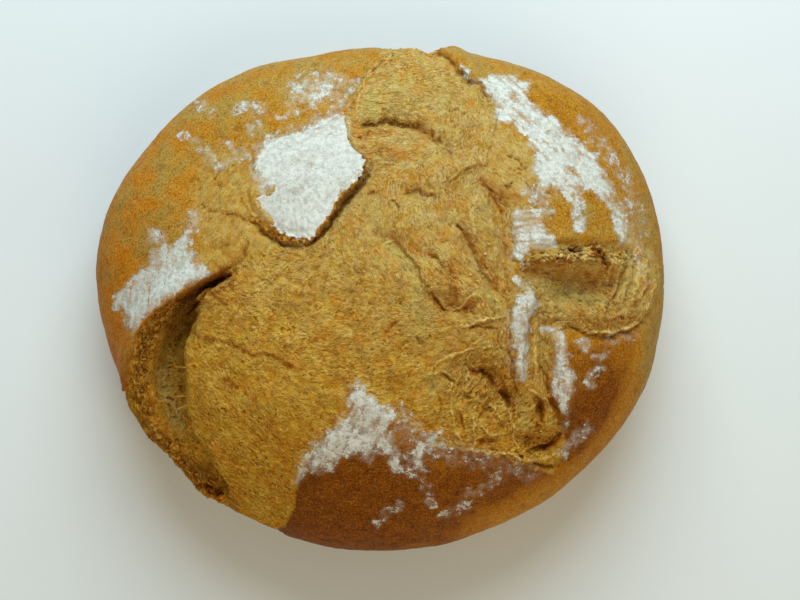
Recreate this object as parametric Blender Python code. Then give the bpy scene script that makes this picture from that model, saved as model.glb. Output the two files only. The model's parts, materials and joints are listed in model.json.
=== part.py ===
"""A round rustic hearth loaf, torn open on top by its own rise, as one solid body.

Metres, +Z up. The loaf stands on its flat base, with its origin under the middle of its bounding box. The marks on
its top are laid out on a plan, as someone looking straight down from EYE sees them, in millimetres.
"""

import math

import bmesh
import bpy
import numpy as np
from mathutils import Vector, noise

# Driving dimensions, in metres.
LENGTH = 0.240
WIDTH = 0.213
HEIGHT = 0.095
GIRTH_Z = 0.036
BASE_SHARE = 0.80
EYE = np.array((0.0083, -0.0006, 0.900))

# How full the side profile is above and below the girth: 2 is an ellipse, and more is boxier.
CROWN_FULLNESS = 2.0
FOOT_FULLNESS = 2.4

# The outline seen from above: its radius in millimetres, every 20 degrees from +X.
OUTLINE_MM = (120, 122.5, 121, 114, 106, 105, 110, 115.5, 120, 119.5, 115, 112, 109.5, 108, 108, 109, 113, 117.5)

MM = 0.001
SPHERE_STEPS = 7
TRIANGLES = 11400
FLAT_WITHIN = 0.0002

CRUST_COLOR = (0.43, 0.165, 0.022, 1.0)
CRUST_ROUGHNESS = 0.6

# Each stroke is a groove (negative) or a ridge (positive) that runs along a line on the plan:
# its name, its height and half its width in millimetres, and the points of its line.
STROKES = (
    ("left crevice", -27, 9.5, ((-63, 7), (-76, -4), (-87, -17), (-90, -34), (-87, -52), (-78, -68), (-66, -84))),
    ("left lip", 4, 7.0, ((-62, 16), (-76, 10), (-91, 1), (-102, -11), (-106, -28), (-103, -45), (-93, -62))),
    ("flap undercut", -5, 4.5, ((-6, 62), (-8, 51), (-19, 37), (-28, 22))),
    ("flap heel", -3, 4.0, ((-34, 21), (-52, 30), (-58, 42))),
    ("top tear, left border", -3, 4.0, ((2, 102), (-7, 90), (-13, 79))),
    ("top tear, right lip", 3, 4.0, ((27, 108), (36, 99), (45, 85), (49, 73))),
    ("top notch", -3, 4.0, ((21, 108), (19, 90))),
    ("top fold", -4.5, 3.5, ((-9, 74), (3, 77), (15, 74), (26, 67), (32, 56))),
    ("crown ridge", 2.5, 5.0, ((16, 52), (26, 49), (36, 56), (46, 57))),
    ("hanging seam", -4, 4.0, ((45, 50), (51, 38), (54, 22), (51, -1))),
    ("crown hollow", -3, 6.0, ((8, 45), (25, 42))),
    ("long furrow", -3, 5.0, ((-2, 27), (10, 21), (24, 16))),
    ("slanting furrow", -4, 4.5, ((34, 31), (42, 13), (50, 2))),
    ("middle tear", -4, 5.0, ((22, 0), (40, -9))),
    ("first strip", 3.5, 5.5, ((66, 6), (60, -7), (58, -20), (60, -36))),
    ("valley between the strips", -5, 5.0, ((70, 0), (67, -14), (69, -28), (69, -42))),
    ("second strip", 3.5, 5.5, ((74, -12), (78, -26), (79, -40), (78, -54))),
    ("right tear", -9, 11.0, ((60, 8), (78, 6), (104, 5))),
    ("right tear, upper wall", 2, 4.0, ((60, 20), (76, 25), (98, 24), (112, 20))),
    ("ragged field", -4, 16.0, ((32, -28), (46, -40), (62, -50))),
    ("dark crack", -5, 3.5, ((56, -59), (66, -64), (77, -66))),
    ("foot crust, upper edge", 1.2, 6.0, ((-42, -99), (-36, -80), (-20, -58), (-9, -40), (4, -51), (30, -62), (64, -71))),
)

# Each mound is a round rise or hollow: its name, its height, its radius and its middle, all in millimetres.
MOUNDS = (
    ("torn lobe", 5.5, 46, (-48, -42)),
    ("crown", 2.5, 40, (12, 12)),
    ("right shoulder", 2.0, 34, (84, 44)),
    ("upper pit", -3.5, 5, (81, 19)),
    ("outer pit", -3.0, 5, (95, 16)),
    ("field pocket 1", -4.0, 6, (46, -32)),
    ("field pocket 2", -4.0, 7, (55, -44)),
    ("field pocket 3", -4.0, 6, (69, -47)),
)

# The flap: a tongue of crust that stands clear of the crumb. It rises from its root to its free lower right edge.
FLAP_MM = ((-15, 80), (-13, 70), (-6, 59), (-8, 52), (-19, 42), (-29, 25), (-42, 28), (-54, 43), (-53, 60), (-30, 71))
FLAP_RISE = 6.0
FLAP_EDGE = 3.0
FLAP_ROOT = (-45, 75)
FLAP_TIP = (-20, 40)

# The torn crumb is lumpy, and the baked skin only a little uneven. Sizes and heights in millimetres.
CRUMB_MM = ((-70, 2), (-84, -20), (-84, -48), (-62, -90), (-42, -99), (-34, -72), (-9, -38), (24, -61), (64, -70),
            (76, -62), (80, -18), (108, -8), (104, 22), (58, 22), (50, 78), (30, 104), (0, 100), (-14, 78), (-8, 50),
            (-30, 22))
LUMPS = ((14.0, 1.3), (7.0, 0.9))
WAVES = ((46.0, 1.4), (22.0, 0.4))
SOFT_BORDER = 4.0

# How wide and high a stroke is at its ends, as a share of its middle.
END_SHARE = 0.35
SMOOTHINGS = 2


def smooth_step(low, high, value):
    """0 up to low, 1 from high on, and a soft S between them."""
    share = np.clip((value - low) / (high - low), 0.0, 1.0)
    return share * share * (3.0 - 2.0 * share)


def outline_radius(angle):
    """The plan's radius at each angle, on a smooth closed curve through OUTLINE_MM."""
    count = len(OUTLINE_MM)
    radii = np.array(OUTLINE_MM) * MM
    place = (angle / (2.0 * math.pi) * count) % count
    start = place.astype(int)
    share = place - start
    before, here, after, beyond = (radii[(start + step) % count] for step in (-1, 0, 1, 2))
    bend = 2 * before - 5 * here + 4 * after - beyond
    twist = 3 * (here - after) + beyond - before
    return here + 0.5 * share * (after - before + share * (bend + share * twist))


def loaf_form(directions):
    """The plain loaf: a domed crown over the girth, and a foot that curves in to a flat base."""
    level = np.hypot(directions[:, 0], directions[:, 1])
    rise = directions[:, 2]
    angle = np.arctan2(directions[:, 1], directions[:, 0])
    fullness = np.where(rise > 0.0, CROWN_FULLNESS, FOOT_FULLNESS)
    out = outline_radius(angle) * level ** (2.0 / fullness)
    foot_depth = GIRTH_Z / (1.0 - BASE_SHARE**FOOT_FULLNESS) ** (1.0 / FOOT_FULLNESS)
    reach = np.where(rise > 0.0, HEIGHT - GIRTH_Z, foot_depth)
    z = GIRTH_Z + reach * np.sign(rise) * np.abs(rise) ** (2.0 / fullness)
    return np.column_stack((out * np.cos(angle), out * np.sin(angle), np.maximum(z, 0.0)))


def plan_of(points):
    """Where the eye sees each point on the plan, which lies at the girth. In millimetres."""
    shrink = (EYE[2] - GIRTH_Z) / (EYE[2] - points[:, 2:3])
    return (EYE[:2] + (points[:, :2] - EYE[:2]) * shrink) / MM


def distance_to_line(plan, line):
    """Each plan point's distance to a line of points, and how far along the line it lies, from 0 to 1."""
    line = np.array(line, float)
    steps = np.diff(line, axis=0)
    lengths = np.hypot(steps[:, 0], steps[:, 1])
    starts = np.concatenate(([0.0], np.cumsum(lengths)[:-1]))
    nearest = np.full(len(plan), np.inf)
    along = np.zeros(len(plan))
    for corner, step, length, start in zip(line, steps, lengths, starts):
        share = np.clip((plan - corner) @ step / length**2, 0.0, 1.0)
        distance = np.linalg.norm(plan - corner - share[:, None] * step, axis=1)
        closer = distance < nearest
        nearest = np.where(closer, distance, nearest)
        along = np.where(closer, (start + share * length) / lengths.sum(), along)
    return nearest, along


def depth_inside(plan, polygon):
    """How deep each plan point lies inside a polygon, in millimetres. Outside it is negative."""
    corners = np.array(polygon, float)
    nearest, _ = distance_to_line(plan, np.vstack((corners, corners[:1])))
    inside = np.zeros(len(plan), bool)
    for a, b in zip(corners, np.roll(corners, -1, axis=0)):
        crosses = (a[1] > plan[:, 1]) != (b[1] > plan[:, 1])
        level = b[1] - a[1] if b[1] != a[1] else 1.0
        inside ^= crosses & (plan[:, 0] < a[0] + (plan[:, 1] - a[1]) * (b[0] - a[0]) / level)
    return np.where(inside, nearest, -nearest)


def stroke_relief(plan, height, half_width, line):
    """A groove or ridge with round flanks, which grows narrow and low towards its ends."""
    distance, along = distance_to_line(plan, line)
    share = END_SHARE + (1.0 - END_SHARE) * np.sin(math.pi * np.clip(along, 0.0, 1.0)) ** 0.5
    return height * share * (1.0 - smooth_step(0.15, 1.0, distance / (half_width * share)))


def mound_relief(plan, height, radius, middle):
    """A round swelling or hollow."""
    distance = np.linalg.norm(plan - np.array(middle, float), axis=1)
    return height * (1.0 - smooth_step(0.0, 1.0, distance / radius))


def flap_relief(plan):
    """The flap's top, which climbs from its root to its tip and ends in a steep edge."""
    root, tip = np.array(FLAP_ROOT, float), np.array(FLAP_TIP, float)
    climb = np.clip((plan - root) @ (tip - root) / ((tip - root) @ (tip - root)), 0.0, 1.0)
    return FLAP_RISE * (0.35 + 0.65 * climb) * smooth_step(-0.5, FLAP_EDGE, depth_inside(plan, FLAP_MM))


def uneven(points, layers):
    """Soft lumps of several sizes, the same at every run, in millimetres."""
    total = np.zeros(len(points))
    for size, height in layers:
        total += [height * noise.noise(Vector(point) / (size * MM)) for point in points]
    return total


def relief(points):
    """How far each point of the plain loaf moves out along its normal, in metres."""
    plan = plan_of(points)
    top = np.zeros(len(points))
    for _, height, half_width, line in STROKES:
        top += stroke_relief(plan, height, half_width, line)
    for _, height, radius, middle in MOUNDS:
        top += mound_relief(plan, height, radius, middle)
    top += flap_relief(plan)
    top += smooth_step(-SOFT_BORDER, SOFT_BORDER, depth_inside(plan, CRUMB_MM)) * uneven(points, LUMPS)
    seen = smooth_step(GIRTH_Z - 0.010, GIRTH_Z + 0.004, points[:, 2])
    off_base = smooth_step(0.0, 0.012, points[:, 2])
    return (seen * top + off_base * uneven(points, WAVES)) * MM


def coordinates(mesh):
    """The mesh's points as rows of x, y and z."""
    flat = np.empty(len(mesh.vertices) * 3)
    mesh.vertices.foreach_get("co", flat)
    return flat.reshape(-1, 3)


def set_coordinates(mesh, points):
    mesh.vertices.foreach_set("co", points.ravel())
    mesh.update()


def fit_to_size(mesh):
    """Flattens the base and brings the loaf to its exact length, width and height, over the origin."""
    points = coordinates(mesh)
    points[:, 2] = np.where(points[:, 2] < FLAT_WITHIN, 0.0, points[:, 2])
    low, high = points.min(axis=0), points.max(axis=0)
    middle = np.array(((low[0] + high[0]) / 2.0, (low[1] + high[1]) / 2.0, 0.0))
    set_coordinates(mesh, (points - middle) * np.array((LENGTH, WIDTH, HEIGHT)) / (high - low))


def crust_material():
    """Plain baked crust."""
    material = bpy.data.materials.new("baked crust")
    material.use_nodes = True
    shader = material.node_tree.nodes["Principled BSDF"]
    shader.inputs["Base Color"].default_value = CRUST_COLOR
    shader.inputs["Roughness"].default_value = CRUST_ROUGHNESS
    shader.inputs["Metallic"].default_value = 0.0
    return material


def make_loaf(collection):
    """A fine sphere takes the loaf's form and relief, and is then thinned where it is smooth."""
    mesh = bpy.data.meshes.new("loaf")
    sphere = bmesh.new()
    bmesh.ops.create_icosphere(sphere, subdivisions=SPHERE_STEPS, radius=1.0)
    sphere.to_mesh(mesh)
    sphere.free()
    loaf = bpy.data.objects.new("loaf", mesh)
    collection.objects.link(loaf)

    set_coordinates(mesh, loaf_form(coordinates(mesh)))
    normals = np.array([vertex.normal[:] for vertex in mesh.vertices])
    points = coordinates(mesh)
    set_coordinates(mesh, points + normals * relief(points)[:, None])

    soften = loaf.modifiers.new("soften", "SMOOTH")
    soften.iterations = SMOOTHINGS
    thin = loaf.modifiers.new("thin", "DECIMATE")
    thin.ratio = TRIANGLES / len(mesh.polygons)
    bpy.context.view_layer.objects.active = loaf
    for modifier in (soften, thin):
        bpy.ops.object.modifier_apply(modifier=modifier.name)
    fit_to_size(loaf.data)
    loaf.data.shade_smooth()
    loaf.data.materials.append(crust_material())
    return loaf


def main():
    for obj in list(bpy.data.objects):
        bpy.data.objects.remove(obj)
    collection = bpy.data.collections.new("rustic loaf")
    bpy.context.scene.collection.children.link(collection)
    make_loaf(collection)


main()
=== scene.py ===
"""The looks of a round rustic loaf: baked skin, torn crumb, a raised flap, a crevice and patches of flour.

Metres, +Z up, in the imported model's own frame. Marks on the loaf are laid out on a plan, in millimetres, as
someone looking straight down from EYE sees them at the height of the loaf's girth.
"""

import json
import math

import bpy
import numpy as np
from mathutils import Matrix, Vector
from mathutils.bvhtree import BVHTree

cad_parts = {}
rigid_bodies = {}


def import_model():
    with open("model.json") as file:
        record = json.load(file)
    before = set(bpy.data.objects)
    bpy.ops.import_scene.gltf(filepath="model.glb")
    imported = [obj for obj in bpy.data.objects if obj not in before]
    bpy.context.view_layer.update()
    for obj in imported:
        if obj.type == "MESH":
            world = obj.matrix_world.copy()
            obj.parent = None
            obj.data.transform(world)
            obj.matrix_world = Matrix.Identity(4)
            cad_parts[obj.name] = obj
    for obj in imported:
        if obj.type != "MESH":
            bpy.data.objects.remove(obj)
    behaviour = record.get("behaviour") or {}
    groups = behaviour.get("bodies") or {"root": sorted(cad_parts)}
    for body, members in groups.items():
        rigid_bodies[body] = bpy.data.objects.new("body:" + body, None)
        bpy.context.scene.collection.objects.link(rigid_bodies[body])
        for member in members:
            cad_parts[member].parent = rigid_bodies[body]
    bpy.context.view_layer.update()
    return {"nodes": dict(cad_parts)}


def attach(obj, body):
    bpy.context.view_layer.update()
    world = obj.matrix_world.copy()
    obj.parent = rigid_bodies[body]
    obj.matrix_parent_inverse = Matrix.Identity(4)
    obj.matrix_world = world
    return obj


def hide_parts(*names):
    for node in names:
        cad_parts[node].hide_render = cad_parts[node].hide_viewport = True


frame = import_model()

MM = 0.001
# Where the loaf is seen from, and the height of its girth, where the plan lies.
EYE = np.array((0.0083, -0.0006, 0.900))
GIRTH_Z = 0.036

# The camera: what it sees from side to side on the plan, in metres, and its sensor's width, in millimetres.
VIEW_WIDTH = 0.341
SENSOR = 36.0

# ---------------------------------------------------------------- the plan, in millimetres

# Where the skin is torn away and crumb shows. It runs off the loaf at the lower left and at the top.
CRUMB = (
    (-61, 15), (-67, 11), (-73, 8), (-79, 5), (-86, 1), (-92, -3), (-96, -6), (-100, -10), (-104, -15),
    (-106, -24), (-107, -34), (-110, -43), (-118, -52), (-100, -76), (-70, -98), (-52, -112), (-47, -101),
    (-41, -96), (-38, -89), (-36, -77), (-29, -66), (-23, -58), (-15, -50), (-15, -42), (-10, -35),
    (-1, -45), (4, -48), (14, -53), (23, -57), (24, -61), (38, -63), (52, -66), (60, -69), (73, -73),
    (77, -65), (77, -57), (75, -53), (72, -43), (72, -24), (73, -16), (79, -11), (85, -13), (94, -15),
    (102, -14), (109, -11), (114, -5), (116, 4), (115, 14), (111, 20), (104, 22), (96, 20), (90, 23),
    (83, 22), (75, 21), (68, 19), (61, 16), (57, 17), (56, 27), (55, 39), (50, 42), (46, 49), (45, 59),
    (48, 68), (49, 75), (51, 80), (47, 85), (42, 92), (38, 93), (30, 101), (25, 104), (24, 116), (4, 116),
    (1, 101), (-7, 94), (-9, 87), (-14, 81), (-22, 72), (-30, 60), (-40, 48), (-48, 40), (-44, 26),
    (-52, 20),
)
# A strip of skin left standing in the torn crumb.
STRIP = (
    (61, 4), (65, 3), (68, -1), (69, -4), (65, -7), (64, -14), (63, -22), (63, -33), (60, -37), (58, -33),
    (57, -22), (55, -11), (56, -5), (58, 1),
)
# The flap: a tongue of crust that stands clear of the loaf along its right and lower edges. This is its
# floured top.
FLAP = (
    (-16, 79), (-13, 69), (-7, 59), (-7, 54), (-13, 48), (-17, 45), (-19, 42), (-22, 36), (-27, 29),
    (-30, 25), (-35, 26), (-42, 28), (-48, 33), (-53, 37), (-54, 44), (-51, 48), (-46, 51), (-52, 52),
    (-54, 57), (-51, 63), (-45, 68), (-38, 70), (-31, 72), (-24, 77),
)
FLAP_LEFT_EDGE = ((-56, 53), (-58, 46), (-57, 41), (-54, 35), (-51, 30), (-46, 27), (-41, 25), (-33, 24))
# The flap grows out of the skin along this line, and rises on its left.
FLAP_HINGE = ((-12, 82), (-24, 78), (-40, 70), (-52, 60), (-58, 46), (-59, 30))
FLAP_RIGHT_EDGE = ((-10, 50), (-15, 45), (-20, 39), (-24, 32), (-29, 25))

# How much the skin's torn edge stands above the crumb, in millimetres: as a rule, and along these lines,
# each with its step and half the width.
EDGE_STEP = 0.15
EDGE_STEPS = (
    ("lip", 1.1, 7.0, (
        (-67, 11), (-84, 3), (-100, -10), (-106, -24), (-107, -36), (-112, -46), (-120, -54))),
    ("top right lip", 1.4, 4.0, ((24, 106), (31, 100), (40, 92))),
    ("top right crack", 0.5, 4.0, ((42, 92), (48, 83))),
    ("left shoulder", -0.2, 12.0, ((-30, 25), (-42, 24), (-53, 18), (-60, 15))),
    ("lobe foot", -0.9, 6.0, ((-47, -101), (-38, -89), (-36, -77), (-29, -66))),
    ("tan skin", -0.2, 8.0, ((49, 78), (47, 68), (44, 58), (47, 46))),
    ("right tear, lower fringe", -0.9, 5.0, ((79, -10), (94, -15), (109, -11))),
    ("right tear, end", -0.3, 7.0, ((113, -7), (117, 4), (113, 20), (104, 24))),
    ("top left", 0.0, 6.0, ((1, 101), (-9, 88), (-14, 80))),
)
# Where the torn edge is clean: how much, half the width, and the line.
CLEAN_EDGES = (
    ("lip", 0.9, 8.0, ((-58, 15), (-74, 8), (-84, 2), (-96, -6), (-104, -15), (-107, -30), (-109, -42))),
    ("lobe foot", 0.2, 8.0, ((-47, -101), (-39, -90), (-36, -78), (-34, -72))),
    ("top left", 0.6, 7.0, ((1, 101), (-9, 88), (-12, 80))),
    ("tan skin", 0.6, 7.0, ((49, 78), (47, 68), (44, 58))),
)

# The bare rim of the crevice's lip.
LIP_RIM = (
    (-58, 15), (-67, 11), (-73, 8), (-79, 5), (-86, 1), (-92, -3), (-96, -6), (-100, -10), (-104, -15),
    (-106, -24),
)

# Patches of flour: how much, how soft the edge is, how it was brushed (angle and strength), and the outline.
FLOUR_PATCHES = (
    ("left patch", 1.12, 3.0, 84, 0.5, (
        (-83, 29), (-80, 17), (-74, 14), (-73, 11), (-79, 7), (-88, 1), (-96, -4), (-102, -10), (-105, -16),
        (-108, -13), (-110, -5), (-114, -3), (-112, 2), (-104, 10), (-99, 14), (-97, 21), (-93, 24),
        (-88, 22))),
    ("left patch, left arm", 0.8, 2.4, 80, 0.3, ((-100, 31), (-94, 30), (-91, 25), (-94, 22), (-99, 24))),
    ("left patch, right arm", 0.6, 3.0, 60, 0.4, (
        (-86, 24), (-85, 31), (-83, 37), (-78, 39), (-76, 34), (-80, 26), (-79, 18))),
    ("right band", 1.08, 2.4, -42, 0.6, (
        (43, 93), (48, 96), (56, 95), (64, 92), (62, 88), (64, 84), (73, 78), (84, 68), (94, 58), (100, 45),
        (106, 30), (106, 25), (102, 22), (100, 31), (97, 38), (91, 46), (86, 46), (81, 42), (77, 44),
        (73, 48), (69, 44), (66, 48), (65, 55), (65, 63), (61, 71), (56, 75), (48, 73), (49, 82), (44, 89))),
    ("brushed patch", 0.95, 2.2, 4, 0.7, (
        (56, 38), (64, 39), (73, 38), (73, 35), (69, 33), (74, 27), (74, 22), (64, 21), (61, 16), (57, 17))),
    ("first strip", 0.88, 1.8, 92, 0.5, STRIP),
    ("second strip", 0.86, 2.2, 90, 0.5, (
        (70, -12), (76, -13), (79, -16), (81, -24), (79, -27), (81, -30), (84, -33), (82, -39), (80, -45),
        (80, -53), (79, -56), (76, -45), (73, -39), (73, -30), (74, -22), (74, -16))),
    ("foot patch", 0.88, 3.0, 60, 0.5, (
        (-10, -33), (-15, -40), (-14, -48), (-19, -53), (-26, -58), (-32, -65), (-36, -72), (-36, -79),
        (-32, -75), (-26, -74), (-20, -73), (-16, -67), (-10, -67), (-5, -70), (-1, -64), (3, -68), (5, -74),
        (10, -74), (11, -71), (7, -63), (4, -56), (8, -49), (2, -45), (-4, -41))),
    ("flap root", 1.8, 5.0, 30, 0.4, (
        (-17, 79), (-14, 70), (-30, 60), (-50, 46), (-54, 57), (-49, 66), (-32, 72))),
)
# Streaks of flour: how much flour, half the width, and the line.
FLOUR_STREAKS = (
    ("foot patch, blob", 0.85, 5.0, ((24, -59), (19, -63), (15, -69))),
    ("foot patch, dust", 0.45, 9.0, ((8, -50), (16, -60), (14, -72))),
    ("foot patch, right dust", 0.32, 7.0, ((22, -62), (36, -63), (46, -67))),
    ("foot patch, veil", 0.32, 8.0, ((18, -62), (34, -68), (50, -71), (64, -74))),
    ("foot, fleck 1", 0.36, 5.0, ((18, -78), (22, -88))),
    ("foot, fleck 2", 0.34, 5.0, ((36, -85), (51, -76))),
    ("foot, fleck 3", 0.38, 4.0, ((-2, -96), (8, -88))),
    ("foot, fleck 4", 0.32, 5.0, ((27, -93), (36, -88))),
    ("crown left, cloud", 0.58, 13.0, ((-33, 88), (-22, 91))),
    ("crown left, small", 0.44, 6.5, ((-60, 81), (-51, 80))),
    ("crown left, fleck", 0.45, 5.5, ((-76, 82), (-72, 80))),
    ("crown left, streak", 0.6, 3.0, ((-43, 77), (-36, 79))),
    ("crown left, arc 1", 0.44, 3.6, ((-73, 62), (-69, 56), (-62, 59), (-55, 65), (-47, 69))),
    ("crown left, arc 2", 0.44, 3.6, ((-66, 66), (-60, 62), (-54, 60), (-46, 66))),
    ("crown left, arc 3", 0.36, 4.0, ((-84, 70), (-78, 66), (-76, 60))),
    ("crown left, arc 4", 0.44, 3.2, ((-57, 74), (-53, 69), (-50, 73), (-53, 76))),
    ("crown left, arc 5", 0.40, 3.4, ((-44, 70), (-34, 73), (-26, 77))),
    ("beside the top tear", 0.6, 4.0, ((-20, 78), (-15, 86), (-11, 92))),
    ("lip of the top tear", 0.7, 2.2, ((34, 98), (40, 93))),
    ("right fleck", 0.8, 5.0, ((84, 41), (85, 31))),
    ("right outer fleck", 0.5, 4.0, ((85, 77), (88, 75))),
    ("above the brushed patch", 0.56, 5.0, ((62, 46), (70, 42))),
    ("below the brushed patch", 0.56, 4.0, ((58, 20), (61, 14))),
    ("rim dust 1", 0.34, 7.0, ((88, 74), (104, 52), (111, 30))),
    ("rim dust 2", 0.30, 8.0, ((104, 40), (112, 10))),
    ("lower right streak", 0.46, 5.0, ((88, -55), (77, -66))),
    ("lower right dot", 0.75, 3.6, ((86, -19), (88, -21))),
    ("lower right fleck", 0.62, 3.2, ((92, -25), (95, -24))),
    ("lower right fleck 2", 0.6, 4.0, ((93, -29), (88, -37))),
    ("lower right dashes", 0.34, 5.0, ((97, -18), (108, -16))),
    ("between the strips", 0.66, 4.0, ((70, -13), (76, -14))),
    ("strip head", 0.5, 4.0, ((58, 8), (63, 6))),
    ("strip, left speckle", 0.36, 4.0, ((55, -8), (55, -30))),
)

# Thin stretched skin that lies between baked skin and crumb: how soft its edge is, and the outline.
STRETCHED = (
    ("left shoulder", 4.0, (
        (-78, 58), (-70, 62), (-58, 58), (-52, 50), (-46, 40), (-44, 22), (-52, 14), (-61, 11), (-74, 9),
        (-77, 18), (-76, 28), (-79, 42))),
    ("right of the seam", 4.0, (
        (46, 82), (52, 74), (60, 72), (64, 64), (65, 52), (61, 44), (56, 40), (48, 42), (44, 60))),
    ("end of the right tear", 5.0, ((104, 27), (113, 24), (117, 4), (114, -12), (106, -10), (110, 4))),
    ("lip rim", 0.8, (
        (-58, 18), (-74, 10), (-96, -4), (-105, -15), (-108, -36), (-106, -36), (-96, -9), (-74, 5))),
)

# Deep brown places in the crumb: mostly browned by heat, and painted shade under the fold, under the right
# tear's roof, on its floor and in some hollows and pits. How strong, half the width, and the line.
TOASTED_AND_SHADED = (
    ("lip, inner wall", 1.15, 8.0, (
        (-66, 9), (-78, 2), (-90, -5), (-98, -14), (-102, -26), (-102, -42), (-98, -56), (-88, -68),
        (-74, -80))),
    ("lip, red patch", 1.0, 4.0, ((-93, -9), (-89, -12))),
    ("lip, outer side", 0.7, 6.0, ((-106, -24), (-109, -36), (-112, -46), (-108, -58))),
    ("lobe streak", 0.75, 2.6, (
        (-75, -17), (-66, -18), (-60, -21), (-53, -24), (-48, -23), (-43, -26), (-38, -29))),
    ("lobe streak, second", 0.5, 2.0, ((-51, -28), (-46, -30), (-40, -33))),
    ("lobe fleck 1", 0.5, 4.0, ((-63, -2), (-60, 4))),
    ("lobe fleck 2", 0.7, 3.6, ((-66, -34), (-62, -37))),
    ("lobe fleck 3", 0.45, 5.0, ((-76, -48), (-70, -54))),
    ("lobe low", 0.35, 14.0, ((-44, -60), (-30, -66))),
    ("orange fleck", 0.75, 2.6, ((2, -15), (6, -10))),
    ("fold, under it", 0.7, 3.0, ((-6, 71), (4, 71))),
    ("fold, orange", 0.55, 4.6, ((2, 63), (12, 61))),
    ("fold, dark fleck", 1.0, 2.2, ((-9, 69), (-6, 68))),
    ("red fleck", 0.8, 2.6, ((-2, 62), (0, 64))),
    ("beside the flap", 0.5, 4.0, ((-12, 82), (-10, 70), (-5, 60))),
    ("dome, left band", 0.45, 2.4, ((1, 102), (-2, 99), (-5, 94), (-8, 88), (-10, 82), (-12, 79))),
    ("dome, fleck", 0.5, 2.4, ((10, 98), (17, 98))),
    ("dome, right", 0.55, 3.6, ((37, 97), (42, 93))),
    ("dome, spur", 0.75, 2.8, ((22, 103), (27, 105), (31, 101), (35, 97))),
    ("seam head", 0.85, 3.0, ((43, 51), (46, 47), (49, 43), (51, 38))),
    ("seam", 0.42, 2.2, ((50, 39), (52, 33), (53, 27), (53, 20), (54, 12), (54, 6), (54, -3))),
    ("seam, cross", 0.8, 1.7, ((39, 57), (45, 57))),
    ("seam, right of it", 0.6, 3.6, ((50, 44), (59, 43))),
    ("right of the slanting tear", 0.6, 2.6, ((35, 29), (39, 25), (43, 16), (47, 11), (53, 3))),
    ("ridge by the furrow", 0.5, 2.4, ((8, 26), (13, 22), (17, 19), (21, 19))),
    ("orange wall", 0.7, 4.4, ((30, 12), (32, 4), (31, -3), (27, -4))),
    ("pit", 1.0, 2.2, ((22, 2), (25, -3), (28, -5))),
    ("ring hollow", 0.75, 3.8, ((34, -5), (40, -3), (43, -1))),
    ("brow", 0.6, 1.6, ((10, 46), (14, 47), (18, 46), (23, 44))),
    ("crown, left mark", 0.8, 1.8, ((-5, 44), (-2, 46))),
    ("right tear, roof", 0.6, 3.0, ((60, 13), (66, 15), (74, 15), (80, 15))),
    ("right tear, shadow", 0.35, 4.0, ((64, 11), (72, 10), (80, 11))),
    ("right tear, holes", 1.0, 3.4, ((91, 22), (95, 17), (97, 13))),
    ("right tear, orange", 0.9, 3.0, ((88, 10), (91, 7))),
    ("right tear, floor shade", 0.5, 5.0, ((88, 5), (98, 2))),
    ("right tear, fringe fleck", 0.9, 2.2, ((99, -9), (103, -8))),
    ("right tear, fringe", 0.4, 4.0, ((84, -8), (96, -11), (108, -9))),
    ("field, hollow 1", 0.8, 4.0, ((38, -31), (44, -31), (48, -36))),
    ("field, hollow 2", 0.9, 4.0, ((51, -38), (55, -45), (57, -50))),
    ("field, hollow 3", 1.0, 3.4, ((67, -43), (69, -49), (68, -53))),
    ("field, hollow 4", 0.8, 3.0, ((73, -43), (75, -48), (76, -52))),
    ("field, orange", 0.9, 3.0, ((49, -30), (53, -35))),
    ("field, low", 0.6, 3.4, ((42, -61), (50, -62))),
    ("field, corner", 0.8, 6.0, ((62, -60), (70, -62), (76, -58))),
    ("field, middle", 0.45, 5.0, ((44, -48), (48, -56))),
    ("strip, left side", 0.7, 2.2, ((54, -12), (56, -28), (58, -40))),
    ("between the strips", 0.6, 3.0, ((70, -32), (72, -40))),
    ("foot border", 0.5, 4.0, ((-36, -88), (-30, -68), (-18, -50), (-12, -38))),
    ("foot border, right", 0.5, 4.0, ((6, -46), (22, -56), (50, -64))),
    ("lobe foot", 0.6, 8.0, ((-66, -88), (-54, -98), (-44, -100))),
    ("end of the lip", 0.9, 6.0, ((-78, -74), (-70, -82), (-62, -89))),
    ("shoulder wrinkle", 0.5, 2.4, ((-67, 36), (-60, 35), (-56, 32))),
    ("shoulder edge", 0.5, 2.6, ((-66, 12), (-60, 16), (-57, 24))),
)
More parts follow.
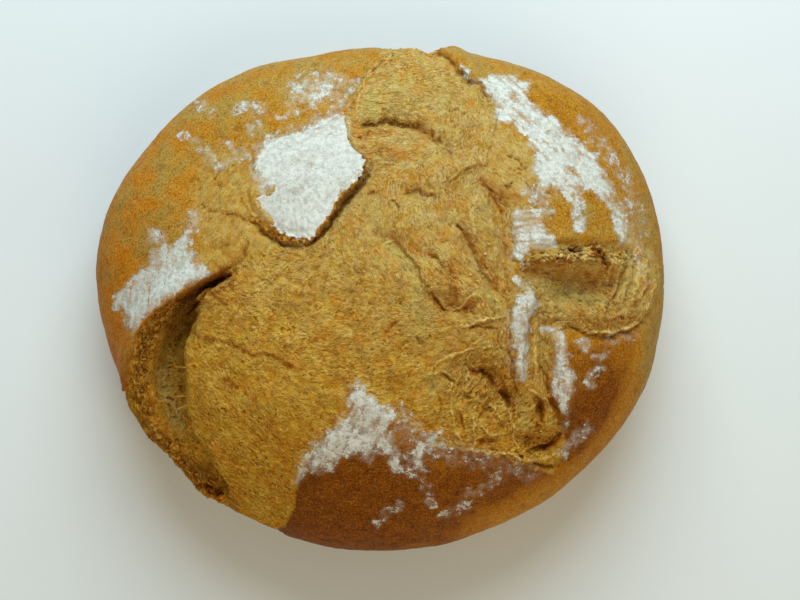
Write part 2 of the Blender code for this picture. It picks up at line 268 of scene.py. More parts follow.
# Pale, moist places in the crumb: how pale, half the width, and the line.
PALE = (
    ("crevice floor", 0.8, 6.0, ((-93, -31), (-91, -42), (-86, -54))),
    ("dome, left", 1.0, 6.0, ((-5, 87), (-3, 79))),
    ("dome, wide", 0.5, 11.0, ((4, 90), (13, 84), (6, 80))),
    ("dome, patch 1", 0.6, 3.0, ((28, 84), (34, 82))),
    ("dome, patch 2", 0.5, 2.4, ((38, 88), (41, 87))),
    ("dome, patch 3", 0.4, 3.6, ((10, 80), (20, 79))),
    ("brow pad", 0.5, 8.0, ((14, 40), (19, 30))),
    ("furrow floor", 1.0, 5.0, ((3, 23), (9, 18), (14, 10), (16, 3))),
    ("below the furrow", 0.8, 7.0, ((14, -3), (20, -8), (16, -15))),
    ("below the slanting tear", 0.9, 4.6, ((43, 3), (48, -1), (50, -6))),
    ("upper right pad", 0.5, 7.0, ((44, 40), (44, 30), (48, 20))),
    ("crown, left", 0.6, 8.0, ((-4, 42), (-1, 34))),
    ("lobe blister 1", 0.5, 3.4, ((-55, -30), (-52, -30))),
    ("lobe blister 2", 0.5, 4.0, ((-62, -43), (-57, -44))),
    ("lobe blister 3", 0.35, 5.0, ((-58, -50), (-54, -52))),
    ("lobe blister 4", 0.5, 3.0, ((-33, -25), (-30, -25))),
    ("lobe blister 5", 0.4, 6.0, ((-40, -38), (-34, -40))),
    ("field, left hollow", 0.9, 3.6, ((21, -33), (23, -41))),
    ("field, right hollow", 0.7, 5.0, ((59, -46), (63, -57))),
    ("field, small hollow", 1.0, 2.2, ((35, -28), (36, -34))),
    ("right tear, floor", 0.75, 8.0, ((64, 5), (78, 2), (92, 0))),
    ("right tear, wall", 0.8, 5.0, ((105, 18), (103, 2))),
    ("right tear, wall end", 0.6, 5.0, ((109, 14), (107, 0))),
    ("right tear, left", 0.5, 6.0, ((68, -6), (78, -6))),
    ("between the strips", 0.6, 4.0, ((68, -14), (69, -28))),
)
# Thin cracks, sunk into the relief and painted dark with their shade, as are the holes, the gaps under the
# flap's edges and the slit under the lip's edge: how dark, half the width, and the line.
SHADED_CRACKS = (
    ("top fold", 0.95, 1.3, ((-8, 74), (-5, 74), (-1, 75), (3, 76), (8, 75), (12, 74), (16, 74))),
    ("top fold, run out", 0.6, 0.7, ((15, 74), (19, 73), (22, 69), (24, 66))),
    ("top fold, long run out", 0.35, 0.7, ((24, 66), (28, 63), (30, 60), (32, 56))),
    ("fold pit", 0.7, 1.4, ((25, 68), (26, 67))),
    ("top right lip", 0.5, 0.7, ((35, 96), (37, 94), (39, 92), (41, 93))),
    ("top right border", 0.4, 0.7, ((41, 93), (43, 90), (46, 84))),
    ("dome mark", 0.5, 0.6, ((29, 80), (32, 81), (36, 79))),
    ("seam head", 0.5, 1.2, ((44, 50), (46, 47), (48, 43), (50, 39))),
    ("seam, second", 0.5, 0.6, ((51, 43), (53, 39), (54, 34))),
    ("below the strand", 0.3, 0.7, ((27, 49), (32, 51), (36, 54), (39, 56))),
    ("brow", 0.35, 0.6, ((10, 45), (13, 46), (17, 46), (20, 44), (23, 44), (24, 41))),
    ("crown, left mark", 0.55, 0.8, ((-5, 44), (-3, 46))),
    ("crown, left mark 2", 0.7, 0.7, ((5, 42), (8, 39))),
    ("furrow", 0.3, 0.8, ((8, 24), (10, 21), (12, 19), (14, 16), (16, 12), (18, 7))),
    ("furrow, hole", 0.55, 0.9, ((20, 18), (23, 18), (25, 17), (26, 15))),
    ("inner wall", 0.3, 0.7, ((27, 13), (29, 10), (30, 6), (29, 1))),
    ("slanting tear", 0.4, 0.7, ((36, 27), (39, 22), (41, 16), (43, 11), (46, 9), (49, 5), (52, 1))),
    ("slanting tear, hole", 1.0, 1.1, ((33, 31), (35, 29))),
    ("pit", 0.6, 0.9, ((22, 3), (24, 0), (26, -3), (28, -5))),
    ("below the long strand", 0.6, 0.8, ((38, -13), (42, -12), (47, -12), (50, -13), (50, -18), (52, -22))),
    ("small hole", 0.7, 1.0, ((16, -17), (18, -19))),
    ("crown mark 3", 0.5, 0.6, ((20, 31), (22, 29))),
    ("lip, slit", 0.9, 1.5, ((-68, 9), (-72, 5), (-76, 1), (-79, -3), (-82, -7))),
    ("lip, under its edge", 0.7, 0.9, ((-64, 10), (-73, 5), (-81, 1), (-87, -2), (-92, -6))),
    ("lobe, corner", 0.5, 1.0, ((-72, 2), (-66, -3))),
    ("lobe, hair", 0.9, 0.5, ((-68, -47), (-66, -49))),
    ("shoulder 1", 0.55, 0.6, ((-67, 36), (-63, 36), (-60, 35), (-56, 33))),
    ("shoulder 2", 0.5, 0.5, ((-77, 54), (-74, 56))),
    ("shoulder 3", 0.6, 0.5, ((-71, 51), (-69, 54), (-67, 55))),
    ("shoulder 4", 0.5, 0.5, ((-70, 48), (-68, 47))),
    ("shoulder 5", 0.6, 0.6, ((-76, 40), (-74, 39))),
    ("shoulder 6", 0.5, 0.5, ((-73, 37), (-70, 38))),
    ("shoulder 7", 0.35, 0.5, ((-71, 22), (-67, 22), (-63, 23))),
    ("shoulder edge", 0.5, 0.7, ((-57, 24), (-58, 17), (-62, 14), (-66, 12))),
    ("tan skin 1", 0.8, 0.7, ((52, 48), (54, 47), (56, 49))),
    ("tan skin 2", 0.6, 0.5, ((54, 61), (58, 59), (61, 56))),
    ("tan skin 3", 0.5, 0.5, ((56, 54), (59, 56), (62, 55))),
    ("tan skin 4", 0.5, 0.5, ((62, 50), (65, 46), (74, 44))),
    ("field, hollow 1", 0.6, 1.6, ((44, -31), (47, -34), (48, -38))),
    ("field, hollow 2", 0.7, 1.6, ((52, -40), (55, -45))),
    ("field, hollow 3", 0.8, 1.6, ((68, -44), (69, -49), (68, -52))),
    ("field, hollow 4", 0.8, 1.1, ((73, -43), (76, -48), (76, -51))),
    ("field, long crack", 1.0, 1.1, ((64, -66), (68, -64), (72, -63), (75, -60), (77, -58))),
    ("field, lower crack", 0.8, 1.1, ((66, -71), (70, -71), (73, -72))),
    ("field, small crack", 0.8, 0.8, ((59, -67), (61, -68))),
    ("field, low 1", 0.6, 1.2, ((42, -62), (44, -61))),
    ("field, low 2", 0.5, 1.2, ((34, -50), (35, -56))),
    ("field, low 3", 0.9, 0.8, ((48, -65), (50, -65))),
    ("field, left 1", 0.4, 1.0, ((26, -32), (31, -36))),
    ("field, left 2", 0.4, 0.8, ((25, -42), (26, -48), (24, -54))),
    ("field, right crack", 0.7, 0.8, ((69, -29), (71, -34), (72, -39))),
    ("strip, side", 0.6, 0.6, ((55, -14), (55, -20), (56, -30), (58, -40))),
    ("strip, middle", 0.25, 0.5, ((61, -4), (61, -14), (61, -30))),
    ("right tear, roof", 0.4, 1.2, ((62, 12), (66, 13), (72, 11), (78, 13))),
    ("right tear, hole 1", 0.75, 1.5, ((81, 20), (84, 20))),
    ("right tear, hole 2", 0.75, 1.5, ((92, 20), (94, 17), (96, 15))),
    ("right tear, wall", 0.55, 0.7, ((105, 16), (104, 12), (102, 8), (101, 4), (100, 0))),
    ("right tear, wall 2", 0.7, 0.8, ((110, 5), (109, 1), (109, -3))),
    ("right tear, wall 3", 0.3, 0.6, ((100, 20), (99, 12), (97, 4))),
    ("right tear, fringe", 0.6, 0.8, (
        (81, -11), (85, -14), (89, -15), (94, -16), (100, -15), (107, -13), (111, -10))),
    ("flap, gap", 0.7, 1.3, ((-32, 23), (-27, 26), (-22, 31), (-18, 37), (-14, 42), (-9, 48), (-5, 53))),
    ("flap, left gap", 0.6, 1.3, ((-52, 29), (-47, 26), (-41, 23))),
)
# Light thin ridges and strands: height before it is raised, half the width, and the line.
STRANDS_RAISED = 1.15
STRANDS = (
    ("diagonal strand", 1.2, 1.1, ((26, 49), (30, 51), (33, 53), (36, 56), (40, 57), (45, 57))),
    ("ring", 1.2, 0.8, ((30, -6), (33, -4), (36, -2), (38, 0), (41, 2), (43, 1), (44, -3), (44, -7))),
    ("long strand", 1.2, 0.9, ((34, -12), (38, -11), (42, -10), (47, -9), (54, -8))),
    ("crown strand 1", 0.7, 0.6, ((18, 6), (22, 6), (25, 8))),
    ("crown strand 2", 0.8, 0.6, ((12, -2), (15, -1), (18, 0))),
    ("crown strand 3", 0.7, 0.6, ((2, 23), (6, 25))),
    ("crown strand 4", 0.7, 0.6, ((17, 9), (18, 5), (16, 2))),
    ("dome, left edge", 0.7, 0.9, ((2, 103), (-3, 99), (-6, 94), (-9, 88), (-10, 80), (-9, 75))),
    ("crown right edge", 0.5, 0.8, ((41, 44), (39, 36), (40, 28), (44, 20))),
    ("field, web 1", 0.8, 0.7, ((30, -31), (30, -39), (30, -47), (32, -57), (36, -64))),
    ("field, web 2", 0.8, 0.7, ((36, -29), (38, -35), (36, -40))),
    ("field, web 3", 0.8, 0.7, ((41, -42), (40, -52), (40, -65))),
    ("field, web 4", 0.9, 0.8, ((50, -40), (53, -46), (56, -52), (57, -60), (59, -66))),
    ("field, web 5", 0.8, 0.8, ((21, -30), (25, -27), (30, -24), (35, -23), (40, -21), (47, -20))),
    ("field, web 6", 0.8, 0.7, ((20, -33), (24, -31), (29, -32), (32, -35))),
    ("field, web 7", 0.8, 0.7, ((38, -28), (42, -30), (45, -28), (49, -27))),
    ("field, web 8", 1.0, 0.8, ((46, -44), (50, -48), (52, -54))),
    ("field, web 9", 0.8, 0.7, ((63, -38), (68, -42), (72, -44))),
    ("field, web 10", 0.8, 0.8, ((42, -53), (46, -58), (52, -58))),
    ("field, fringe", 1.1, 0.9, (
        (38, -64), (44, -66), (50, -65), (56, -67), (62, -69), (70, -68), (75, -66))),
    ("right tear, crest 1", 1.0, 1.0, ((64, 16), (68, 18), (72, 18), (77, 18), (81, 18))),
    ("right tear, crest 2", 1.2, 1.3, ((86, 22), (88, 19), (89, 15))),
    ("right tear, wall 1", 1.4, 0.9, ((103, 20), (101, 10), (98, 0))),
    ("right tear, wall 2", 1.4, 0.9, ((106, 19), (105, 8), (102, -2))),
    ("right tear, wall 3", 1.2, 0.9, ((110, 16), (109, 6), (106, -4))),
    ("right tear, wall 4", 1.2, 0.8, ((100, 19), (97, 10), (95, 2))),
    ("right tear, wall 5", 1.0, 0.8, ((113, 10), (112, 2), (110, -5))),
    ("right tear, fringe", 1.0, 1.0, (
        (82, -9), (85, -12), (89, -14), (94, -15), (100, -14), (106, -12), (111, -9))),
    ("between the strips", 0.7, 0.9, ((66, -12), (66, -24), (67, -36))),
    ("flap, pale rim", 0.5, 0.9, ((-58, 46), (-57, 41), (-54, 35), (-50, 31))),
)
# Tears that leave one side higher: height before it is raised, how far it reaches on the high side and on
# the low side, and the line, with the high side on its left.
TEARS_RAISED = 1.25
TEARS = (
    ("top fold", 3.0, 5.0, 4.0, (
        (-9, 74), (-5, 74), (-1, 75), (3, 76), (8, 75), (12, 74), (16, 74), (22, 69), (25, 66))),
    ("top right lip", 1.8, 4.0, 3.0, ((33, 98), (37, 94), (39, 92), (41, 93))),
    ("top right border", 1.2, 4.0, 3.0, ((41, 93), (43, 90), (46, 84), (48, 78))),
    ("brow", 1.4, 4.0, 5.0, ((8, 44), (13, 46), (17, 46), (20, 44), (23, 44), (24, 38))),
    ("furrow", 2.0, 4.0, 7.0, ((5, 26), (8, 24), (12, 19), (14, 16), (16, 12), (19, 5))),
    ("furrow, hole", 1.6, 2.5, 3.0, ((19, 17), (23, 18), (25, 17), (27, 13))),
    ("inner wall", 1.4, 3.0, 4.0, ((29, 0), (30, 6), (29, 10), (26, 14))),
    ("slanting tear", 1.9, 5.0, 6.0, (
        (31, 33), (36, 27), (39, 22), (41, 16), (43, 11), (46, 9), (49, 5), (53, -1))),
    ("pit", 1.8, 3.0, 3.0, ((20, 4), (24, 0), (26, -3), (29, -6))),
    ("seam", 0.8, 5.0, 4.0, ((42, 52), (46, 47), (50, 39), (52, 33), (53, 20), (54, 6), (54, -3))),
    ("right tear, roof", 1.9, 3.0, 4.0, ((60, 12), (65, 14), (69, 15), (73, 14), (77, 13), (82, 15))),
    ("right tear, fringe", 1.2, 5.0, 3.0, (
        (80, -9), (85, -13), (89, -15), (94, -16), (100, -15), (107, -13), (112, -9))),
    ("right tear, wall", 1.2, 3.0, 3.0, ((99, -1), (101, 4), (104, 12), (105, 17))),
    ("field, top", 1.3, 3.0, 4.0, ((36, -27), (42, -29), (48, -30), (53, -36), (58, -44))),
    ("field, middle", 1.0, 3.0, 4.0, ((28, -30), (34, -38), (44, -46), (54, -54))),
    ("lobe streak", 0.6, 3.0, 4.0, (
        (-75, -17), (-66, -18), (-60, -21), (-53, -24), (-48, -23), (-43, -26), (-38, -29))),
    ("shoulder", 0.9, 4.0, 3.0, ((-68, 37), (-63, 36), (-60, 35), (-55, 32))),
)
# Broad hollows (negative) and fills (positive) on top of the solid's own form: height, half the width, and
# the line.
FORMS = (
    ("lip crest", 0.8, 2.4, ((-68, 12), (-84, 3), (-96, -6), (-104, -15), (-107, -30))),
    ("flap undercut", -2.0, 2.6, ((-4, 57), (-10, 48), (-18, 40), (-24, 30), (-31, 22))),
    ("flap undercut, left", -1.2, 2.4, ((-34, 22), (-46, 24), (-54, 31), (-60, 42))),
    ("below the fold", -0.8, 5.0, ((-8, 69), (3, 70), (14, 68))),
    ("crown pad", 0.9, 8.0, ((15, 40), (18, 30))),
    ("crown furrow floor", -0.9, 5.0, ((4, 22), (10, 17), (15, 8))),
    ("ring hollow", -2.0, 3.6, ((35, -4), (41, -2))),
    ("field, hollow 1", -3.0, 3.4, ((39, -31), (43, -31), (47, -33), (48, -38))),
    ("field, hollow 2", -3.0, 3.2, ((52, -39), (54, -43), (56, -48))),
    ("field, hollow 3", -3.2, 2.8, ((68, -44), (68, -48), (68, -52))),
    ("field, hollow 4", -2.6, 2.2, ((73, -43), (75, -48))),
    ("field, hollow 5", -1.8, 2.6, ((20, -34), (22, -40))),
    ("field, hollow 6", -2.0, 2.4, ((42, -61), (47, -61), (50, -62))),
    ("field, hollow 7", -1.8, 2.0, ((33, -48), (34, -55))),
    ("field, hollow 8", -1.6, 2.0, ((26, -32), (31, -36))),
    ("field, hollow 9", -1.6, 1.8, ((42, -52), (45, -48), (47, -46))),
    ("field, corner crack", -2.6, 2.2, ((62, -66), (68, -64), (72, -63), (77, -58))),
    ("valley", -2.0, 2.6, ((68, -24), (70, -34), (72, -44))),
    ("tear, valley head", 2.6, 5.0, ((70, -9), (72, -5))),
    ("right wall, fill", 5.0, 9.0, ((110, 20), (112, 8), (110, -6))),
    ("flap, ridge at its root", -2.4, 4.0, ((-15, 80), (-30, 71), (-53, 60), (-54, 55))),
    ("right tear, left fill", 3.6, 9.0, ((58, 8), (76, 6))),
    ("right tear, back fill", 4.2, 8.0, ((66, 15), (80, 16), (98, 15))),
    ("right tear, middle ridge", 1.6, 4.0, ((86, 20), (89, 14), (91, 8))),
    ("right tear, hole 1", -3.0, 2.6, ((81, 20), (85, 20))),
    ("right tear, hole 2", -3.4, 2.8, ((92, 21), (94, 17), (96, 14))),
    ("right tear, fringe", 1.3, 5.0, ((68, -3), (80, -6), (92, -9), (104, -8), (111, -4))),
    ("end of the lip", 2.5, 5.0, ((-77, -76), (-70, -83))),
)

# Where the crumb is torn raggedly: how much, half the width, and the line.
RAGGED = (
    ("right field", 0.95, 16.0, ((36, -36), (54, -46), (66, -56))),
    ("middle", 0.4, 12.0, ((22, 2), (38, -10), (50, -24))),
    ("crown furrows", 0.25, 12.0, ((8, 26), (24, 20), (42, 16))),
    ("right tear roof", 2.1, 7.0, ((62, 17), (84, 19), (104, 18))),
    ("right tear floor", 0.85, 12.0, ((70, 4), (100, 0))),
    ("right tear fringe", 0.9, 5.0, ((68, -7), (92, -11), (108, -9))),
    ("valley", 0.6, 5.0, ((69, -20), (67, -30), (73, -48))),
    ("foot border", 0.5, 5.0, ((6, -46), (24, -59), (50, -65), (72, -70))),
    ("lip wall", 0.95, 6.5, (
        (-76, 3), (-90, -5), (-98, -14), (-102, -26), (-102, -42), (-98, -56), (-88, -68), (-74, -80))),
    ("crevice floor", 1.4, 6.0, ((-86, -12), (-90, -28), (-89, -44), (-85, -60))),
    ("top edge", 0.5, 5.0, ((0, 104), (12, 106), (26, 106))),
    ("seam", 0.2, 6.0, ((46, 46), (53, 26), (54, 2))),
    ("below the flap", 0.25, 7.0, ((-4, 56), (-20, 34), (-32, 20))),
)

# Which way the crumb's fibres run: places on the plan and the angle there, in degrees from +X.
COMB = (
    (-78, -30, -40), (-62, -20, -16), (-62, -50, -36), (-55, -75, -50), (-50, -95, -50), (-30, -50, -28),
    (-40, -30, -20), (-30, 0, 25), (-10, -15, 10), (-8, 30, -60), (5, 90, 2), (20, 92, -6), (36, 80, -75),
    (8, 62, 12), (35, 65, 60), (10, 40, -85), (24, 36, -70), (40, 25, -65), (50, 30, -82), (30, 5, -30),
    (20, -25, 20), (45, -35, 50), (60, -50, 62), (68, -25, 85), (80, 6, -12), (96, 6, -40), (107, 6, 80),
    (-100, -20, 70), (-104, -40, 88), (-98, -60, -58), (-80, -78, -40), (-88, -35, 10), (40, -58, -15),
    (-60, 40, -30), (-70, 25, -40), (56, 60, -60),
)
# How far each of these angles reaches, in millimetres.
COMB_REACH = 12.0
# The fibres' pattern is drawn in these directions, in degrees, and blended towards the comb's.
WEB_TURNS = (0, 45, 90, 135)

# ---------------------------------------------------------------- plan arithmetic

# The noise's table of random slopes, and what spreads the lattice's cells over it.
TABLE_SIZE = 4096
PRIMES = np.array((73856093, 19349663, 83492791))


def smooth_step(low, high, value):
    """0 up to low, 1 from high on, and a soft S between them."""
    share = np.clip((value - low) / (high - low), 0.0, 1.0)
    return share * share * (3.0 - 2.0 * share)


def plan_of(points):
    """Where the eye sees each point on the plan, in millimetres."""
    shrink = (EYE[2] - GIRTH_Z) / (EYE[2] - points[:, 2:3])
    return (EYE[:2] + (points[:, :2] - EYE[:2]) * shrink) / MM


def distance_to_line(plan, line):
    """Each plan point's distance to a line of points, positive on the line's left and negative on its right,
    and how far along the line it lies, from 0 to 1."""
    line = np.array(line, float)
    steps = np.diff(line, axis=0)
    lengths = np.hypot(steps[:, 0], steps[:, 1])
    starts = np.concatenate(([0.0], np.cumsum(lengths)[:-1]))
    nearest = np.full(len(plan), np.inf)
    side = np.ones(len(plan))
    along = np.zeros(len(plan))
    for corner, step, length, start in zip(line, steps, lengths, starts):
        way = plan - corner
        share = np.clip(way @ step / length**2, 0.0, 1.0)
        distance = np.linalg.norm(way - share[:, None] * step, axis=1)
        closer = distance < nearest
        nearest = np.where(closer, distance, nearest)
        side = np.where(closer, np.where(step[0] * way[:, 1] > step[1] * way[:, 0], 1.0, -1.0), side)
        along = np.where(closer, (start + share * length) / lengths.sum(), along)
    return nearest * side, along


def around_line(plan, line, reach):
    """Which plan points may lie within reach of a line."""
    line = np.array(line, float)
    low, high = line.min(axis=0) - reach, line.max(axis=0) + reach
    return np.flatnonzero(np.all((plan > low) & (plan < high), axis=1))


def depth_inside(plan, polygon):
    """How deep each plan point lies inside a polygon, in millimetres. Outside it is negative."""
    corners = np.array(polygon, float)
    nearest = np.abs(distance_to_line(plan, np.vstack((corners, corners[:1])))[0])
    inside = np.zeros(len(plan), bool)
    for a, b in zip(corners, np.roll(corners, -1, axis=0)):
        crosses = (a[1] > plan[:, 1]) != (b[1] > plan[:, 1])
        level = b[1] - a[1] if b[1] != a[1] else 1.0
        inside ^= crosses & (plan[:, 0] < a[0] + (plan[:, 1] - a[1]) * (b[0] - a[0]) / level)
    return np.where(inside, nearest, -nearest)


def stroke(plan, half_width, line):
    """1 on a line, 0 away from it, and narrower towards the line's ends."""
    found = np.zeros(len(plan))
    near = around_line(plan, line, half_width)
    distance, along = distance_to_line(plan[near], line)
    share = 0.4 + 0.6 * np.sin(math.pi * np.clip(along, 0.0, 1.0)) ** 0.5
    found[near] = share * (1.0 - smooth_step(0.1, 1.0, np.abs(distance) / (half_width * share)))
    return found


def strongest(plan, strokes):
    """The strongest of several strokes at each plan point."""
    found = np.zeros(len(plan))
    for _, strength, width, line in strokes:
        near = around_line(plan, line, width)
        distance = np.abs(distance_to_line(plan[near], line)[0])
        found[near] = np.maximum(found[near], strength * (1.0 - smooth_step(0.1, 1.0, distance / width)))
    return found


def tear(plan, height, high, low, line):
    """A step across a line: raised on its left and lowered on its right, dying away at these distances."""
    found = np.zeros(len(plan))
    near = around_line(plan, line, 3.0 * max(high, low))
    side, along = distance_to_line(plan[near], line)
    raised = smooth_step(-0.4, 0.4, side)
    up = raised * np.exp(-np.maximum(side, 0.0) / high) * (1.0 - smooth_step(2.0, 3.0, side / high))
    down = (1.0 - raised) * np.exp(np.minimum(side, 0.0) / low) * (1.0 - smooth_step(2.0, 3.0, -side / low))
    ends = np.sin(math.pi * np.clip(along, 0.0, 1.0)) ** 0.4
    found[near] = height * ends * (0.6 * up - 0.4 * down)
    return found


def lattice_rows(cells):
    """Where each cell of an endless lattice looks up its random values."""
    mixed = cells @ PRIMES[: cells.shape[1]]
    return (mixed ^ (mixed >> 13)) & (TABLE_SIZE - 1)


def noise(points, size, seed):
    """Soft noise from about -1 to 1 with lumps of the given size, in the points' own unit."""
    slopes = np.random.default_rng(seed).normal(size=(TABLE_SIZE, points.shape[1]))
    slopes /= np.linalg.norm(slopes, axis=1)[:, None]
    place = points / size
    cell = np.floor(place).astype(np.int64)
    share = place - cell
    ease = share**3 * (share * (share * 6.0 - 15.0) + 10.0)
    total = np.zeros(len(points))
    for corner in np.ndindex((2,) * points.shape[1]):
        weight = np.prod(np.where(corner, ease, 1.0 - ease), axis=1)
        total += weight * np.sum(slopes[lattice_rows(cell + corner)] * (share - corner), axis=1)
    return 1.7 * total


def warp(points, size, reach, seed):
    """The points, moved a little by noise."""
    moves = [noise(points, size, seed + axis) for axis in range(points.shape[1])]
    return points + reach * np.column_stack(moves)


def wobbled(plan):
    """The plan points moved a little, so that what follows a drawn line comes out torn."""
    return warp(warp(plan, 3.6, 0.9, 21), 1.2, 0.2, 27)


def crests(values, sharpness):
    """1 along the lines where the noise is 0, falling to 0 beside them."""
    return 1.0 - np.minimum(np.abs(values) * sharpness, 1.0)


def comb_of(plan):
    """The fibres' direction at each plan point, as the cosine and sine of twice its angle."""
    total = np.zeros((len(plan), 2))
    for x, y, degrees in COMB:
        weight = np.exp(-((plan[:, 0] - x) ** 2 + (plan[:, 1] - y) ** 2) / (2.0 * COMB_REACH**2)) + 1e-9
        double = 2.0 * math.radians(degrees)
        total += weight[:, None] * np.array((math.cos(double), math.sin(double)))
    return total / np.linalg.norm(total, axis=1)[:, None]


def web(mm, comb, size, stretch, seed, sharpness=2.4):
    """Crossing crests from 0 to 1, drawn out along the comb: a web of torn fibres."""
    found = np.zeros(len(mm))
    for index, degrees in enumerate(WEB_TURNS):
        turn = math.radians(degrees)
        weight = np.maximum(comb @ np.array((math.cos(2.0 * turn), math.sin(2.0 * turn))), 0.0) ** 0.5
        along = mm[:, 0] * math.cos(turn) + mm[:, 1] * math.sin(turn)
        across = mm[:, 1] * math.cos(turn) - mm[:, 0] * math.sin(turn)
        drawn = np.column_stack((along / stretch, across, mm[:, 2]))
        found = np.maximum(found, weight * crests(noise(drawn, size, seed + index), sharpness))
    return found


# ---------------------------------------------------------------- mesh handling

def select_only(obj):
    bpy.ops.object.select_all(action="DESELECT")
    obj.select_set(True)
    bpy.context.view_layer.objects.active = obj


def apply_modifier(obj, kind, **settings):
    """Adds a modifier with these settings and applies it."""
    modifier = obj.modifiers.new(kind.lower(), kind)
    for name, value in settings.items():
        setattr(modifier, name, value)
    select_only(obj)
    bpy.ops.object.modifier_apply(modifier=modifier.name)


def coordinates(mesh):
    flat = np.empty(len(mesh.vertices) * 3)
    mesh.vertices.foreach_get("co", flat)
    return flat.reshape(-1, 3)


def set_coordinates(mesh, points):
    mesh.vertices.foreach_set("co", points.ravel())
    mesh.update()


def vertex_normals(mesh):
    flat = np.empty(len(mesh.vertices) * 3)
    mesh.vertex_normals.foreach_get("vector", flat)
    return flat.reshape(-1, 3)


def face_middles(mesh):
    flat = np.empty(len(mesh.polygons) * 3)
    mesh.polygons.foreach_get("center", flat)
    return flat.reshape(-1, 3)


def face_sums(mesh, values):
    """The sum of a vertex value over each face's corners."""
    corners = np.empty(len(mesh.loops), np.int32)
    mesh.loops.foreach_get("vertex_index", corners)
    starts = np.empty(len(mesh.polygons), np.int32)
    mesh.polygons.foreach_get("loop_start", starts)
    return np.add.reduceat(values[corners], starts)


def store(mesh, name, values):
    """Keeps a number, or a direction, for each point of the mesh, which the materials read."""
    kind = "FLOAT" if values.ndim == 1 else "FLOAT_VECTOR"
    attribute = mesh.attributes.new(name, kind, "POINT")
    attribute.data.foreach_set("value" if values.ndim == 1 else "vector", values.astype(np.float32).ravel())


def read(mesh, name):
    """What store kept."""
    attribute = mesh.attributes[name]
    if attribute.data_type == "FLOAT":
        values = np.empty(len(mesh.vertices), np.float32)
        attribute.data.foreach_get("value", values)
        return values.astype(float)
    values = np.empty(len(mesh.vertices) * 3, np.float32)
    attribute.data.foreach_get("vector", values)
    return values.astype(float).reshape(-1, 3)


def select_faces(mesh, chosen):
    """Selects these faces, and only these, for the next step in edit mode."""
    mesh.vertices.foreach_set("select", np.zeros(len(mesh.vertices), bool))
    mesh.edges.foreach_set("select", np.zeros(len(mesh.edges), bool))
    mesh.polygons.foreach_set("select", chosen)
    mesh.update()


def in_edit_mode(obj, step):
    """Runs one step in edit mode, in face select mode."""
    select_only(obj)
    bpy.ops.object.mode_set(mode="EDIT")
    bpy.ops.mesh.select_mode(type="FACE")
    step()
    bpy.ops.object.mode_set(mode="OBJECT")


def snap_to_zero(mesh, points, depth):
    """Moves the points nearest to where depth changes its sign onto that line."""
    ends = np.empty(len(mesh.edges) * 2, np.int32)
    mesh.edges.foreach_get("vertices", ends)
    ends = ends.reshape(-1, 2)
    first, second = ends[(depth[ends[:, 0]] > 0) != (depth[ends[:, 1]] > 0)].T
    share = depth[first] / (depth[first] - depth[second])
    crossing = points[first] + share[:, None] * (points[second] - points[first])
    mover = np.where(share < 0.5, first, second)
    points[mover] = crossing
    depth[mover] = 0.0


def new_object(name, mesh):
    obj = bpy.data.objects.new(name, mesh)
    bpy.context.scene.collection.objects.link(obj)
    return obj


def tree_of(obj):
    faces = [tuple(face.vertices) for face in obj.data.polygons]
    return BVHTree.FromPolygons([tuple(point) for point in coordinates(obj.data)], faces)


def surface_under(trees, plan):
    """The points that the eye sees at these plan points, on the first tree it meets, or else no number."""
    ends = np.column_stack((plan * MM, np.full(len(plan), GIRTH_Z)))
    start = Vector(EYE)
    found = []
    for end in ends:
        way = (Vector(end) - start).normalized()
        hits = [tree.ray_cast(start, way) for tree in trees]
        hits = [(hit[3], tuple(hit[0])) for hit in hits if hit[0]]
        found.append(min(hits)[1] if hits else (math.nan,) * 3)
    return np.array(found)


def landing(trees, plan):
    """The same, without those that miss the loaf."""
    found = surface_under(trees, plan)
    return found[np.isfinite(found[:, 0])]


# ---------------------------------------------------------------- the loaf

# The mesh's grain, and how often its facets are smoothed.
VOXEL = 0.00096
SMOOTHINGS = 6
# How thick the skin is away from its torn edge, and how deep a crack is where it is darkest, in millimetres.
SKIN_THICKNESS = 0.9
CRACK_DEPTH = 1.625
# Below this height the sides are plain skin, and the tears that run off the loaf close on their way down to
# it.
PLAIN_BELOW = 0.016
CLOSES_BELOW = 0.033
# The underside keeps fewer faces: from this height to that one, this share of them.
THINNED = ((-1.0, 0.0015, 0.02), (0.0015, PLAIN_BELOW, 0.2), (PLAIN_BELOW, 0.024, 0.4))
# The crevice's right wall stands further left than the solid's. At each of these levels on the plan: where
# the solid's wall and the crest of its lip are, and how far the wall moves, in millimetres.
WALL_LEVELS = (-92, -75, -60, -50, -24, -16, -8, 0, 3, 12)
WALL_PLACES = (-62, -70, -74, -78, -78, -78, -70, -62, -60, -56)
CREST_PLACES = (-74, -84, -97, -102, -105, -102, -97, -91, -88, -70)
WALL_SHIFTS = (0, 4, 5, 6, 6, 5, 8.5, 14, 13, 0)
WALL_FADE = 36.0
# The crevice's floor: its outline on the plan, and how high it lies at each level, in millimetres.
CREVICE_FLOOR = (
    (-75, 0), (-79, -5), (-87, -8), (-92, -14), (-97, -26), (-97, -35), (-95, -43), (-93, -52), (-91, -61),
    (-85, -68), (-75, -76), (-72, -73), (-76, -63), (-80, -57), (-83, -47), (-83, -35), (-84, -24),
    (-83, -16), (-79, -10),
)
FLOOR_LEVELS = (-80, -70, -60, -40, -24, -8, 0)
FLOOR_HEIGHTS = (36, 43, 49, 52, 50, 50, 56)
# The solid's own flap, which the separate sheet stands for: its outline, edge, rise, root and tip.
FLAP_CAD = (
    (-15, 80), (-13, 70), (-6, 59), (-8, 52), (-19, 42), (-29, 25), (-42, 28), (-54, 43), (-53, 60),
    (-30, 71),
)
FLAP_CAD_EDGE = 3.0
FLAP_RISE = 6.0
FLAP_ROOT = np.array((-45.0, 75.0))
FLAP_TIP = np.array((-20.0, 40.0))
